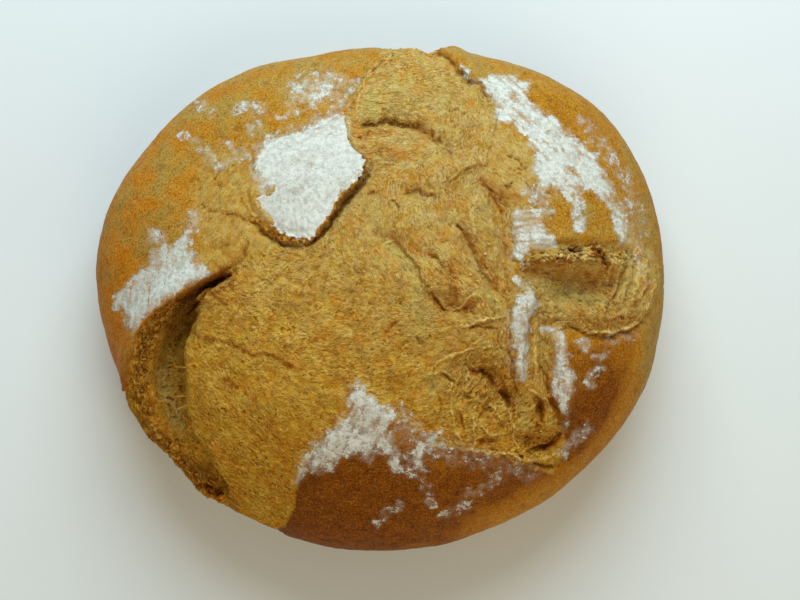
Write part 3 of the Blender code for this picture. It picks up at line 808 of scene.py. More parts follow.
# The crumb is two pieces, the lobe's and the crown's, which meet along this line on the plan.
LOBE_SIDE = ((-24, 60), (-22, 30), (-8, 0), (-8, -40), (-8, -112), (-130, -112), (-130, 60))


def flap_climb(plan):
    """0 at the flap's root and 1 at its tip."""
    way = FLAP_TIP - FLAP_ROOT
    return np.clip((plan - FLAP_ROOT) @ way / (way @ way), 0.0, 1.0)


def skin_depth(plan):
    """How far each plan point lies inside the baked skin, in millimetres, with a ragged border. It is below 0
    in crumb."""
    inside = np.maximum(-depth_inside(plan, CRUMB), depth_inside(plan, STRIP))
    torn = (1.0 + 0.9 * strongest(plan, RAGGED)) * (1.0 - strongest(plan, CLEAN_EDGES))
    return inside + torn * (1.2 * noise(plan, 5.0, 11) + 1.1 * noise(plan, 2.0, 12))


def skin_depth_at(points):
    """The same for points of the loaf, whose tears close lower down."""
    closing = np.maximum(CLOSES_BELOW - points[:, 2], 0.0) / MM
    return np.where(points[:, 2] < PLAIN_BELOW, 20.0, skin_depth(plan_of(points)) + closing)


def open_crevice(mesh):
    """Moves the crevice's right wall to the left, and sinks the floor between it and the lip."""
    points = coordinates(mesh)
    across, level = plan_of(points).T
    rows = (WALL_PLACES, CREST_PLACES, WALL_SHIFTS)
    wall, crest, shift = (np.interp(level, WALL_LEVELS, row) for row in rows)
    share = smooth_step(0.0, 1.0, (across - crest) / (wall - 4.0 - crest))
    share *= smooth_step(WALL_FADE, 4.0, across - wall)
    on_top = smooth_step(0.020, 0.040, points[:, 2])
    points[:, 0] -= shift * share * on_top * MM
    plan = plan_of(points)
    floor = np.interp(plan[:, 1], FLOOR_LEVELS, FLOOR_HEIGHTS) * MM
    sunk = smooth_step(-1.0, 3.5, depth_inside(plan, CREVICE_FLOOR)) * on_top
    points[:, 2] += sunk * np.minimum(floor - points[:, 2], 0.0)
    set_coordinates(mesh, points)


def even_copy():
    """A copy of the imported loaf, merged and remeshed evenly, with its facets smoothed away."""
    loaf = new_object("baked_skin", frame["nodes"]["loaf"].data.copy())

    def merge():
        bpy.ops.mesh.select_all(action="SELECT")
        bpy.ops.mesh.remove_doubles(threshold=0.00001)

    in_edit_mode(loaf, merge)
    apply_modifier(loaf, "SUBSURF", levels=2, render_levels=2)
    open_crevice(loaf.data)
    apply_modifier(loaf, "REMESH", mode="VOXEL", voxel_size=VOXEL)
    apply_modifier(loaf, "SMOOTH", iterations=SMOOTHINGS)
    apply_modifier(loaf, "TRIANGULATE")
    return loaf


def thin_underside(loaf):
    """The sole and the foot are plain, so they keep fewer faces."""
    for low, high, ratio in THINNED:
        height = face_middles(loaf.data)[:, 2]
        select_faces(loaf.data, (height > low) & (height <= high))
        in_edit_mode(loaf, lambda: bpy.ops.mesh.decimate(ratio=ratio))


def raise_skin(loaf):
    """Extrudes the baked skin off the loaf, so that it has a torn edge of its own thickness."""
    mesh = loaf.data
    points = coordinates(mesh)
    depth = skin_depth_at(points)
    snap_to_zero(mesh, points, depth)
    set_coordinates(mesh, points)
    select_faces(mesh, face_sums(mesh, depth) > 0.0)
    in_edit_mode(loaf, bpy.ops.mesh.extrude_region_move)
    chosen = np.empty(len(mesh.vertices), bool)
    mesh.vertices.foreach_get("select", chosen)
    store(mesh, "skin", chosen.astype(float))


def refine_crumb(loaf):
    """The crumb's faces are cut in four, for its finer relief."""
    mesh = loaf.data
    select_faces(mesh, face_sums(mesh, read(mesh, "skin")) < 0.5)
    in_edit_mode(loaf, lambda: bpy.ops.mesh.subdivide(number_cuts=1))
    apply_modifier(loaf, "TRIANGULATE")


def comb_on(points, plan):
    """The comb in the crumb, and round the rim on the skin, as the cosine and sine of twice the angle."""
    around = np.arctan2(points[:, 0], -points[:, 1])
    rim = np.column_stack((np.cos(2.0 * around), np.sin(2.0 * around)))
    inside = smooth_step(2.0, -4.0, skin_depth(plan))[:, None]
    mixed = inside * comb_of(plan) + (1.0 - inside) * rim
    return mixed / np.maximum(np.linalg.norm(mixed, axis=1), 1e-3)[:, None]


def crumb_relief(mm, comb):
    """Fibres and lumps of the torn crumb, in millimetres."""
    warped = warp(mm, 2.4, 0.8, 26)
    fibres = 0.30 * web(warped, comb, 2.2, 3.0, 100) + 0.24 * web(warped, comb, 1.2, 3.0, 110)
    return fibres - 0.24 + 0.40 * noise(mm, 9.0, 23) + 0.30 * noise(mm, 4.2, 24) + 0.18 * noise(mm, 2.0, 25)


def ragged_relief(mm, comb):
    """Torn webs: thin crests round hollows, in millimetres."""
    warped = warp(mm, 5.0, 2.0, 36)
    coarse = 1.5 * (web(warped, comb, 3.6, 1.8, 120, 2.0) - 0.6)
    return coarse + 1.3 * (web(warped, comb, 1.8, 2.2, 130, 2.0) - 0.5)


def skin_relief(mm, comb, stretched):
    """Blisters and soft waves of the baked skin, and the wrinkles of its stretched parts, in millimetres."""
    waves = 0.40 * noise(mm, 16.0, 33) + 0.16 * noise(mm, 5.0, 31) + 0.08 * noise(mm, 2.4, 32)
    grain = 0.07 * web(mm, comb, 1.8, 3.0, 140)
    wrinkles = 0.42 * web(warp(mm, 5.0, 1.5, 46), comb, 2.4, 2.4, 150) - 0.2 + 0.4 * noise(mm, 5.0, 40)
    return waves + grain + stretched * wrinkles


def edge_step(plan):
    """How much the skin's torn edge stands above the crumb, in millimetres."""
    height = np.full(len(plan), EDGE_STEP)
    for _, step, width, line in EDGE_STEPS:
        share = 1.0 - smooth_step(0.5, 1.0, np.abs(distance_to_line(plan, line)[0]) / width)
        height += share * (step - height)
    return height


def stretched_skin(plan):
    """1 on the thin stretched skin, with a ragged soft edge."""
    found = np.zeros(len(plan))
    wander = 3.0 * noise(plan, 8.0, 43) + 2.0 * noise(plan, 3.0, 44)
    for _, soft, outline in STRETCHED:
        found = np.maximum(found, smooth_step(-soft, soft, depth_inside(plan, outline) + wander))
    return found


def outward(points):
    """Directions straight out of the loaf's rounded form."""
    away = points * np.array((0.6, 0.75, 1.0)) + np.array((0.0, 0.0, 0.02))
    return away / np.linalg.norm(away, axis=1)[:, None]


def shape_loaf(loaf):
    """Moves each point of the loaf out or in for its relief, and stores what the materials need of it."""
    mesh = loaf.data
    points, normals = coordinates(mesh), vertex_normals(mesh)
    plan, mm, skin = plan_of(points), points / MM, read(mesh, "skin")
    seen = smooth_step(0.018, 0.032, points[:, 2])
    comb = comb_on(points, plan)
    depth = skin_depth_at(points)
    stretched = stretched_skin(plan)
    on_skin = skin > 0.5

    inside_flap = depth_inside(plan, FLAP_CAD)
    plateau = FLAP_RISE * (0.35 + 0.65 * flap_climb(plan)) * smooth_step(-0.5, FLAP_CAD_EDGE, inside_flap)
    hollow = 2.5 * smooth_step(-1.0, 4.0, inside_flap) * smooth_step(0.25, 0.9, flap_climb(plan))
    torn_plan = wobbled(plan)
    big = sum(height * stroke(plan, width, line) for _, height, width, line in FORMS) - plateau - hollow
    big += TEARS_RAISED * sum(tear(torn_plan, *shape) for _, *shape in TEARS)
    big += STRANDS_RAISED * sum(height * stroke(torn_plan, width, line) for _, height, width, line in STRANDS)
    big -= CRACK_DEPTH * strongest(torn_plan, SHADED_CRACKS)

    ragged = strongest(plan, RAGGED)
    torn = np.zeros(len(points))
    torn[~on_skin] = crumb_relief(mm[~on_skin], comb[~on_skin])
    torn[~on_skin] += ragged[~on_skin] * ragged_relief(mm[~on_skin], comb[~on_skin])
    torn *= smooth_step(0.2, -1.2, depth)
    step = edge_step(plan) * (1.0 + 0.4 * noise(plan, 2.4, 41))
    border = 1.0 - smooth_step(0.0, 5.0, depth)
    baked = np.zeros(len(points))
    baked[on_skin] = skin_relief(mm[on_skin], comb[on_skin], stretched[on_skin])
    raised = border * step + (1.0 - border) * SKIN_THICKNESS + baked
    fine = np.where(on_skin, raised, torn * seen) * smooth_step(0.0, 0.010, points[:, 2])
    set_coordinates(mesh, points + (normals * fine[:, None] + outward(points) * (seen * big)[:, None]) * MM)

    soft_edge = (1.0 - smooth_step(0.0, 3.0, depth)) * smooth_step(0.6, 0.1, edge_step(plan))
    store(mesh, "comb", np.column_stack((comb, np.zeros(len(comb)))))
    store(mesh, "relief", np.where(on_skin, 1.2 * baked * stretched, torn) * seen)
    store(mesh, "stretched", np.maximum(stretched, 0.9 * soft_edge) * seen)


# ---------------------------------------------------------------- marks that the materials read

# Where the skin is darker: how much, half the width, and the line.
DARKER_SKIN = (
    (0.32, 20.0, ((84, -22), (98, -28), (96, -46), (80, -66))),
    (0.42, 26.0, ((52, 86), (82, 72), (98, 46))),
)
# Half the loaf's length and width on the plan, in millimetres, and how much lighter its lower right rim is.
HALF_SPAN = (120.0, 106.0)
RIM_LIGHTER = 0.85


def flour_cover(plan):
    """How much flour lies at each plan point: from 0, none, to about 1, which hides the skin."""
    wander = 1.3 * noise(plan, 4.0, 61) + 0.8 * noise(plan, 1.8, 62)
    cover = strongest(warp(plan, 4.0, 2.0, 65), FLOUR_STREAKS) * (1.0 + 0.6 * noise(plan, 3.0, 67))
    for _, strength, soft, angle, brushed, outline in FLOUR_PATCHES:
        cosine, sine = math.cos(math.radians(angle)), math.sin(math.radians(angle))
        drawn = plan @ np.array(((cosine * 0.16, -sine), (sine * 0.16, cosine)))
        amount = strength * smooth_step(-soft, 1.3 * soft, depth_inside(plan, outline) + wander)
        cover = np.maximum(cover, amount * (1.0 + brushed * noise(drawn, 1.6, 63)))
    rim = strongest(plan, (("lip rim", 1.0, 1.6, LIP_RIM),))
    return np.maximum(cover, 0.0) * (1.0 - rim)


def bake_and_shade_map(plan):
    """How dark the skin is, from 0, golden, to 1, dark brown: baked, and painted shade low down on the plan.
    """
    x, y = plan[:, 0], plan[:, 1]
    dark = smooth_step(25.0, -85.0, y)
    dark += 0.10 * smooth_step(-60.0, -112.0, x) * smooth_step(85.0, 0.0, y)
    dark += 0.15 * smooth_step(-20.0, -90.0, y) * smooth_step(60.0, -40.0, x)
    dark += 0.15 * smooth_step(50.0, 90.0, x) * smooth_step(20.0, -30.0, y)
    for amount, half_width, line in DARKER_SKIN:
        dark += amount * stroke(plan, half_width, line)
    rim = smooth_step(0.80, 0.97, (x / HALF_SPAN[0]) ** 2 + (y / HALF_SPAN[1]) ** 2)
    rim *= smooth_step(20.0, 60.0, x)
    return np.clip(dark - RIM_LIGHTER * rim * smooth_step(10.0, -20.0, y), -0.3, 1.2)


def fair_map(plan):
    """How fair the crumb is, from 0, deep golden, to 1, pale golden, partly painted light towards the top."""
    return smooth_step(-75.0, 60.0, plan[:, 1] + 0.35 * plan[:, 0])


def store_crumb_marks(mesh, plan):
    """Stores where the crumb is browned by heat and by painted shade, where it is pale, and how fair it is.
    """
    torn_plan = wobbled(plan)
    store(mesh, "toast_and_shade", strongest(torn_plan, TOASTED_AND_SHADED))
    store(mesh, "pale", strongest(torn_plan, PALE))
    store(mesh, "fair", fair_map(plan))


def store_marks(mesh, plan):
    """Stores all marks: flour, how dark the skin is with its painted shade, the cracks' painted shade, and
    strands too.
    """
    seen = smooth_step(0.020, 0.034, coordinates(mesh)[:, 2])
    torn_plan = wobbled(plan)
    store_crumb_marks(mesh, plan)
    store(mesh, "flour", flour_cover(plan) * seen)
    # How dark the skin is: baked, and painted shade low down.
    store(mesh, "baked", bake_and_shade_map(plan))
    # Painted shade in the cracks.
    store(mesh, "crack", strongest(torn_plan, SHADED_CRACKS) * seen)
    strands = sum(stroke(torn_plan, width, line) for _, _, width, line in STRANDS)
    store(mesh, "strand", np.clip(strands, 0.0, 1.0) * seen)


def part_off(loaf, name, chosen):
    """Parts these faces off the loaf as a piece of their own."""
    before = set(bpy.data.objects)
    select_faces(loaf.data, chosen)
    in_edit_mode(loaf, lambda: bpy.ops.mesh.separate(type="SELECTED"))
    piece = (set(bpy.data.objects) - before).pop()
    piece.name = piece.data.name = name
    return piece


def part_crumb(loaf):
    """Parts the torn crumb off the baked skin, in two pieces. The whole loaf's normals are stored first."""
    mesh = loaf.data
    store(mesh, "shading", vertex_normals(mesh))
    crown = part_off(loaf, "torn_crumb_crown", face_sums(mesh, read(mesh, "skin")) < 0.5)
    on_lobe = depth_inside(plan_of(face_middles(crown.data)), LOBE_SIDE) > 0.0
    return [crown, part_off(crown, "torn_crumb_lobe", on_lobe)]


def keep_shading(piece):
    """Shades the piece with the whole loaf's normals."""
    piece.data.normals_split_custom_set_from_vertices(read(piece.data, "shading").tolist())


# ---------------------------------------------------------------- the flap

# The sheet's grid and the room round its outline, in millimetres, its thickness, in metres, how far from
# the hinge it climbs, and how much it climbs, in millimetres.
FLAP_GRID = 0.55
FLAP_ROOM = 7.0
FLAP_THICKNESS = 0.0016
FLAP_CLIMBS_OVER = 26.0
FLAP_CLIMB = 3.2


def flap_sheet(plan):
    """How far each plan point lies inside the flap's whole sheet, which is wider than its floured top."""
    margin = 0.3 + 3.4 * stroke(plan, 9.0, FLAP_LEFT_EDGE) + 1.4 * stroke(plan, 7.0, FLAP_RIGHT_EDGE)
    margin += 4.0 * stroke(plan, 9.0, FLAP_HINGE)
    return depth_inside(plan, FLAP) + margin + 1.0 * noise(plan, 3.6, 51) + 1.4 * noise(plan, 1.6, 52)


def flap_height(plan, inside):
    """The flap's height over the loaf, in millimetres. It grows out of the skin along its hinge."""
    right = strongest(plan, (("right edge", 1.0, 9.0, FLAP_RIGHT_EDGE),))
    left = strongest(plan, (("left edge", 1.0, 9.0, FLAP_LEFT_EDGE),))
    climb = np.clip(distance_to_line(plan, FLAP_HINGE)[0] / FLAP_CLIMBS_OVER, 0.0, 1.0)
    rise = 0.1 + FLAP_CLIMB * climb**1.6 + 0.3 * noise(plan, 9.0, 53)
    rise -= 1.6 * stroke(plan, 12.0, FLAP_HINGE) * (1.0 - smooth_step(0.0, 5.0, inside))
    rise -= 0.8 * right * (1.0 - smooth_step(0.0, 3.0, inside))
    groove = smooth_step(1.4, 2.6, inside) * smooth_step(4.8, 3.4, inside)
    return rise - left * (1.6 * groove + 0.8 * (1.0 - smooth_step(0.0, 1.2, inside)))


def even_ground(plan, ground):
    """Gives the ground under the flap the soft dome that the loaf has round about it."""
    x, y = ((plan - plan.mean(axis=0)) / 30.0).T
    terms = np.column_stack([x**i * y**j for i in range(4) for j in range(4 - i)])
    around = depth_inside(plan, FLAP_CAD) < -1.0
    ground[:, 2] = terms @ np.linalg.lstsq(terms[around], ground[around, 2], rcond=None)[0]


def make_flap(trees):
    """A sheet of crust that grows out of the loaf and stands clear of it at its ragged lower edges."""
    corners = np.array(FLAP, float)
    low, high = corners.min(axis=0) - FLAP_ROOM, corners.max(axis=0) + FLAP_ROOM
    count = np.ceil((high - low) / FLAP_GRID).astype(int)
    bpy.ops.object.select_all(action="DESELECT")
    bpy.ops.mesh.primitive_grid_add(x_subdivisions=int(count[0]), y_subdivisions=int(count[1]), size=1.0)
    flap = bpy.context.object
    flap.name = "flap"
    mesh = flap.data
    plan = low + (coordinates(mesh)[:, :2] + 0.5) * (high - low)
    inside = flap_sheet(plan)
    snap_to_zero(mesh, plan, inside)
    ground = surface_under(trees, plan)
    even_ground(plan, ground)
    up = EYE - ground
    up /= np.linalg.norm(up, axis=1)[:, None]
    set_coordinates(mesh, ground + up * flap_height(plan, inside)[:, None] * MM)
    select_faces(mesh, face_sums(mesh, inside) <= 0.0)
    in_edit_mode(flap, lambda: bpy.ops.mesh.delete(type="FACE"))
    apply_modifier(flap, "SMOOTH", iterations=3, factor=0.5)
    apply_modifier(flap, "SOLIDIFY", thickness=FLAP_THICKNESS, offset=-1.0)
    apply_modifier(flap, "TRIANGULATE")
    finish_flap(mesh)
    return flap


def finish_flap(mesh):
    """Roughens the flap's sheet and stores what its material reads: flour, brown edges, and painted shade in
    its groove.
    """
    points, normals = coordinates(mesh), vertex_normals(mesh)
    plan, mm = plan_of(points), points / MM
    top = smooth_step(0.0, 0.35, normals[:, 2])
    rough = 0.12 * noise(mm, 1.5, 54) + 0.2 * noise(mm, 4.0, 56)
    set_coordinates(mesh, points + normals * rough[:, None] * MM)
    floured = depth_inside(plan, FLAP) + 1.1 * noise(plan, 2.6, 55) + 0.9 * noise(plan, 1.1, 57)
    worn = 0.5 * strongest(plan, (("worn middle", 1.0, 11.0, ((-44, 44), (-36, 49), (-30, 54))),))
    left_rim = strongest(plan, (("left rim", 1.0, 2.6, FLAP_LEFT_EDGE),))
    sheet = flap_sheet(plan)
    # The groove along the left edge is darkened: its brown crust, and painted shade in the recess.
    groove = strongest(plan, (("left groove", 1.0, 5.0, FLAP_LEFT_EDGE),)) * smooth_step(1.0, 1.8, sheet)
    groove *= smooth_step(4.2, 3.0, sheet)
    root = stroke(plan, 9.0, FLAP_HINGE)
    flour = np.maximum((1.7 - worn) * smooth_step(-0.8, 1.0, floured), root * flour_cover(plan))
    store(mesh, "skin", top)
    store(mesh, "flour", top * flour)
    store(mesh, "stretched", left_rim * top)
    store(mesh, "toast_and_shade", np.maximum(1.0 - 0.6 * top, groove) * (1.0 - root))
    store(mesh, "baked", 0.55 - 0.45 * root)
    store(mesh, "crack", 0.9 * groove)
    for name in ("pale", "relief", "fair", "strand"):
        store(mesh, name, np.zeros(len(points)))
    comb = comb_on(points, plan)
    store(mesh, "comb", np.column_stack((comb, np.zeros(len(comb)))))


# ---------------------------------------------------------------- loose fibres, crumbs, flakes and grains

TUBE_SIDES = 3
# How far out loose bits are scattered, and the part of the plan that the crumb surely covers, in
# millimetres.
SCATTER_REACH = np.array((119.0, 108.0))
CRUMB_REACH = (118.0, 105.0)


def sleeves(name, rings, turned=False):
    """Many closed sleeves as one mesh. rings holds each sleeve's rings of corners, in order."""
    count, steps, corners = rings.shape[:3]
    start = (np.arange(count) * steps * corners)[:, None, None]
    row = (np.arange(steps - 1) * corners)[None, :, None]
    corner = np.arange(corners)[None, None, :]
    here, beside = start + row + corner, start + row + (corner + 1) % corners
    around = (here, here + corners, beside + corners, beside)
    caps = (corner[0, 0], corner[0, 0, ::-1])
    if turned:
        around = (here, beside, beside + corners, here + corners)
        caps = caps[::-1]
    sides = np.stack(around, axis=3).reshape(-1, 4)
    first, last = start[:, 0] + caps[0], start[:, 0] + (steps - 1) * corners + caps[1]
    mesh = bpy.data.meshes.new(name)
    mesh.from_pydata(rings.reshape(-1, 3), [], sides.tolist() + first.tolist() + last.tolist())
    return new_object(name, mesh)


def tubes(name, paths, radii):
    """Many thin strands as one mesh. paths holds each strand's points, and radii their half widths."""
    ahead = np.gradient(paths, axis=1)
    ahead /= np.maximum(np.linalg.norm(ahead, axis=2, keepdims=True), 1e-9)
    side = np.cross(ahead, (0.0, 0.0, 1.0))
    side /= np.maximum(np.linalg.norm(side, axis=2, keepdims=True), 1e-9)
    up = np.cross(side, ahead)
    angles = math.tau * np.arange(TUBE_SIDES) / TUBE_SIDES
    around = np.cos(angles)[:, None] * up[:, :, None] + np.sin(angles)[:, None] * side[:, :, None]
    return sleeves(name, paths[:, :, None] + radii[:, :, None, None] * around)


# A lump's corners and faces.
NUGGET = np.array(((1, 0, 0), (-1, 0, 0), (0, 1, 0), (0, -1, 0), (0, 0, 1), (0, 0, -1)), float)
NUGGET_FACES = np.array((
    (0, 2, 4), (2, 1, 4), (1, 3, 4), (3, 0, 4), (2, 0, 5), (1, 2, 5), (3, 1, 5), (0, 3, 5),
))


def nuggets(name, middles, sizes, stretch, draw):
    """Many small eight-sided lumps as one mesh, each stretched a little its own way."""
    count = len(middles)
    points = NUGGET[None] * draw.uniform(1.0 - stretch, 1.0 + stretch, (count, 6, 1))
    turn = draw.uniform(0.0, math.tau, count)[:, None]
    x, y = points[:, :, 0].copy(), points[:, :, 1].copy()
    points[:, :, 0] = x * np.cos(turn) - y * np.sin(turn)
    points[:, :, 1] = x * np.sin(turn) + y * np.cos(turn)
    points = middles[:, None] + points * sizes[:, None, None] * MM
    faces = (np.arange(count)[:, None, None] * len(NUGGET) + NUGGET_FACES[None]).reshape(-1, 3)
    mesh = bpy.data.meshes.new(name)
    mesh.from_pydata(points.reshape(-1, 3), [], faces.tolist())
    return new_object(name, mesh)


def scatter(chance, count, draw):
    """Plan points drawn at random over the loaf, kept where chance, from 0 to 1, allows."""
    kept = []
    total = 0
    while total < count:
        plan = draw.uniform(-SCATTER_REACH, SCATTER_REACH, (count * 4, 2))
        plan = plan[draw.uniform(0.0, 1.0, len(plan)) < chance(plan)]
        kept.append(plan)
        total += len(plan)
    return np.concatenate(kept)[:count]


def on_crumb(plan):
    """1 on the torn crumb within the loaf's outline, and 0 elsewhere."""
    return smooth_step(0.3, -1.0, skin_depth(plan)) * (np.linalg.norm(plan / CRUMB_REACH, axis=1) < 0.97)


def finish_crumb(mesh, shade):
    """Stores what the loose crumb's material reads: a shade for each bit, and the marks where it lies."""
    store(mesh, "shade", shade)
    store_crumb_marks(mesh, plan_of(coordinates(mesh)))


def fibrous(plan):
    """Where loose fibres stand off the crumb: all over its ragged parts, and in patches elsewhere."""
    patches = smooth_step(-0.25, 0.45, noise(plan, 8.0, 71) + 0.6 * noise(plan, 3.0, 72))
    return np.clip(0.12 + 0.7 * patches + 0.5 * strongest(plan, RAGGED), 0.0, 1.0)


# The loose fibres: the piece's name, the seed, how many, how many points each, their shortest and longest
# step, how far they stray from the comb and bend at each step, in radians, and their least and greatest
# half width, in millimetres.
FIBRE_KINDS = (
    ("crumb_fibres", 7, 6000, 6, (0.25, 0.65), 0.5, 0.32, (0.06, 0.13)),
    ("crumb_threads", 12, 2200, 9, (0.3, 0.8), 0.4, 0.32, (0.07, 0.15)),
)
# A fibre stays only where the ground under it is about level, and it follows that ground this far down and
# up.
FIBRE_LEVEL = 0.0028
FIBRE_FOLLOWS = (0.001, 0.0014)


def make_fibres(trees, name, seed, count, steps, reach, stray, bend, half_width):
    """Fine curly fibres that lie on the crumb, roughly along its comb."""
    draw = np.random.default_rng(seed)
    plan = scatter(lambda spot: on_crumb(spot) * fibrous(spot), count, draw)
    comb = comb_of(plan)
    angle = 0.5 * np.arctan2(comb[:, 1], comb[:, 0]) + draw.normal(0.0, stray, count)
    step = draw.uniform(*reach, count)
    rows = [plan]
    for _ in range(steps - 1):
        rows.append(rows[-1] + step[:, None] * np.column_stack((np.cos(angle), np.sin(angle))))
        angle = angle + draw.normal(0.0, bend, count)
    flat = np.stack(rows, axis=1)
    ground = surface_under(trees, flat.reshape(-1, 2)).reshape(count, steps, 3)
    arch = np.sin(np.linspace(0.0, math.pi, steps))[None, :] * draw.uniform(0.0, 0.4, count)[:, None]
    level = np.ptp(ground[:, :, 2], axis=1) < FIBRE_LEVEL
    middle = np.median(ground[:, :, 2], axis=1)[:, None]
    down, up = FIBRE_FOLLOWS
    ground[:, :, 2] = np.clip(ground[:, :, 2], middle - down, middle + up) + (0.02 + arch) * MM
    taper = 0.3 + 0.7 * np.sin(np.linspace(0.1, math.pi - 0.1, steps)) ** 0.5
    width = draw.uniform(*half_width, count)[:, None] * taper[None, :]
    fibres = tubes(name, ground[level], width[level] * MM)
    finish_crumb(fibres.data, np.repeat(draw.uniform(0.0, 1.0, count)[level], steps * TUBE_SIDES))
    return fibres


# The strands that hang in the crevice: how many, how many points each, and where the crevice's two sides
# are at these levels on the plan.
HANGING = 70
STRAND_POINTS = 16
SIDE_LEVELS = (-64.0, -52.0, -35.0, -20.0)
LIP_SIDE = (-89.0, -94.0, -98.0, -95.0)
LOBE_EDGE = (-77.0, -83.0, -84.0, -84.0)


def make_strands(trees):
    """Pale curly strands of gluten that hang across the crevice."""
    draw = np.random.default_rng(8)
    level = draw.uniform(-62.0, -27.0, HANGING)
    lip = np.interp(level, SIDE_LEVELS, LIP_SIDE)
    lobe = np.interp(level, SIDE_LEVELS, LOBE_EDGE)
    start = np.column_stack((lip + draw.normal(0.0, 1.4, HANGING), level + draw.normal(0.0, 2.6, HANGING)))
    end = np.column_stack((lobe + draw.normal(0.0, 0.8, HANGING), level))
    share = np.linspace(0.0, 1.0, STRAND_POINTS)[None, :, None]
    flat = start[:, None] * (1.0 - share) + end[:, None] * share
    sway = np.sin(share[..., 0] * math.pi)
    turns = share[..., 0] * draw.uniform(8.0, 20.0, HANGING)[:, None]
    curl = np.sin(turns + draw.uniform(0.0, 6.0, HANGING)[:, None])
    sideways = sway * draw.normal(0.0, 2.4, HANGING)[:, None]
    flat[:, :, 1] += sideways + curl * draw.uniform(0.3, 1.3, HANGING)[:, None]
    ground = surface_under(trees, flat.reshape(-1, 2)).reshape(HANGING, STRAND_POINTS, 3)
    strung = ground[:, :1] * (1.0 - share) + ground[:, -1:] * share
    drop = draw.uniform(4.0, 14.0, HANGING)[:, None] * sway * MM
    strung[:, :, :2] = ground[:, :, :2]
    strung[:, :, 2] = np.maximum(strung[:, :, 2] - drop, ground[:, :, 2])
    width = draw.uniform(0.08, 0.22, HANGING)[:, None] * (0.6 + 1.6 * np.abs(share[..., 0] - 0.5))
    strands = tubes("gluten_strands", strung, width * MM)
    finish_crumb(strands.data, np.repeat(draw.uniform(0.0, 0.5, HANGING), STRAND_POINTS * TUBE_SIDES))
    return strands


CRUMBS = 5000


def make_crumbs(trees):
    """Small bits of torn crumb, thicker where it is ragged."""
    draw = np.random.default_rng(9)
    plan = scatter(lambda spot: on_crumb(spot) * (0.3 + 0.7 * strongest(spot, RAGGED)), CRUMBS, draw)
    middles = landing(trees, plan)
    crumbs = nuggets("crumb_bits", middles, draw.uniform(0.12, 0.34, len(middles)), 0.45, draw)
    finish_crumb(crumbs.data, np.repeat(draw.uniform(0.0, 1.0, len(middles)), len(NUGGET)))
    return crumbs


# Torn edges that shed flakes: how many, how long they are, and the line.
FLAKE_LINES = (
    ("below the crevice", 16, 1.8, ((-88, -66), (-80, -74), (-74, -79), (-68, -84))),
    ("end of the lip", 9, 3.6, ((-77, -76), (-71, -81), (-66, -85))),
    ("lip", 12, 1.0, ((-70, 8), (-86, 0), (-98, -11), (-105, -24), (-107, -40), (-103, -54), (-92, -66))),
    ("top edge", 10, 0.9, ((-2, 102), (8, 105), (18, 105), (30, 101))),
    ("foot border", 16, 1.1, ((8, -50), (22, -58), (38, -62), (54, -66), (72, -72))),
    ("right tear roof", 44, 1.8, ((62, 15), (78, 17), (94, 20))),
    ("right tear fringe", 12, 1.1, ((70, -6), (86, -12), (104, -13), (110, -8))),
    ("flap edge", 12, 1.1, ((-8, 52), (-14, 46), (-24, 32), (-31, 23), (-44, 25), (-54, 34))),
    ("field", 34, 1.3, ((36, -28), (52, -36), (60, -46), (68, -56))),
    ("crown", 22, 1.0, ((8, 26), (24, 20), (30, 0), (42, 8), (46, 30))),
)
# Along a flake's length: its steps, how much it curls, and half its width. The last is its thickness, in
# metres.
FLAKE_STEPS = np.linspace(-0.35, 1.0, 5)
FLAKE_CURL = np.array((0.0, 0.3, 0.5, 0.45, 0.2))
FLAKE_WIDTHS = np.array((0.5, 0.6, 0.55, 0.5, 0.3))
FLAKE_THICKNESS = 0.00015


def flake_places(draw):
    """Where each flake stands on the plan, and how long it is."""
    places, lengths = [], []
    for _, count, length, line in FLAKE_LINES:
        line = np.array(line, float)
        spot = draw.uniform(0.0, len(line) - 1.001, count)
        index = spot.astype(int)
        share = (spot - index)[:, None]
        on_line = line[index] * (1.0 - share) + line[index + 1] * share
        places.append(on_line + draw.normal(0.0, 1.4, (count, 2)))
        lengths.append(length * draw.uniform(0.5, 1.3, count))
    return np.concatenate(places), np.concatenate(lengths)


def make_flakes(trees):
    """Thin curled shards of crust and crumb along the torn edges."""
    draw = np.random.default_rng(10)
    plan, length = flake_places(draw)
    foot = surface_under(trees, plan)
    lands = np.isfinite(foot[:, 0])
    foot, length = foot[lands], length[lands]
    total = len(foot)
    out = outward(foot)
    way = out * np.array((1.0, 1.0, 0.5)) + draw.normal(0.0, 0.6, (total, 3))
    way /= np.linalg.norm(way, axis=1)[:, None]
    side = np.cross(way, out) + draw.normal(0.0, 0.25, (total, 3))
    side /= np.linalg.norm(side, axis=1)[:, None]
    long = (length * MM)[:, None]
    spine = foot[:, None] + way[:, None] * (FLAKE_STEPS[None] * long)[..., None]
    spine += out[:, None] * (FLAKE_CURL[None] * draw.uniform(-0.3, 0.8, total)[:, None] * MM)[..., None]
    half = FLAKE_WIDTHS[None] * draw.uniform(0.6, 1.2, (total, len(FLAKE_STEPS))) * long
    left, right = spine - side[:, None] * half[..., None], spine + side[:, None] * half[..., None]
    thick = FLAKE_THICKNESS * out[:, None]
    rings = np.stack((left, spine + thick * 2.0, right, spine - thick), axis=2)
    flakes = sleeves("crust_flakes", rings, turned=True)

    def face_out():
        bpy.ops.mesh.select_all(action="SELECT")
        bpy.ops.mesh.normals_make_consistent(inside=False)

    in_edit_mode(flakes, face_out)
    finish_crumb(flakes.data, np.repeat(draw.uniform(0.0, 0.8, total), rings.shape[1] * rings.shape[2]))
    return flakes


GRAINS = 9000


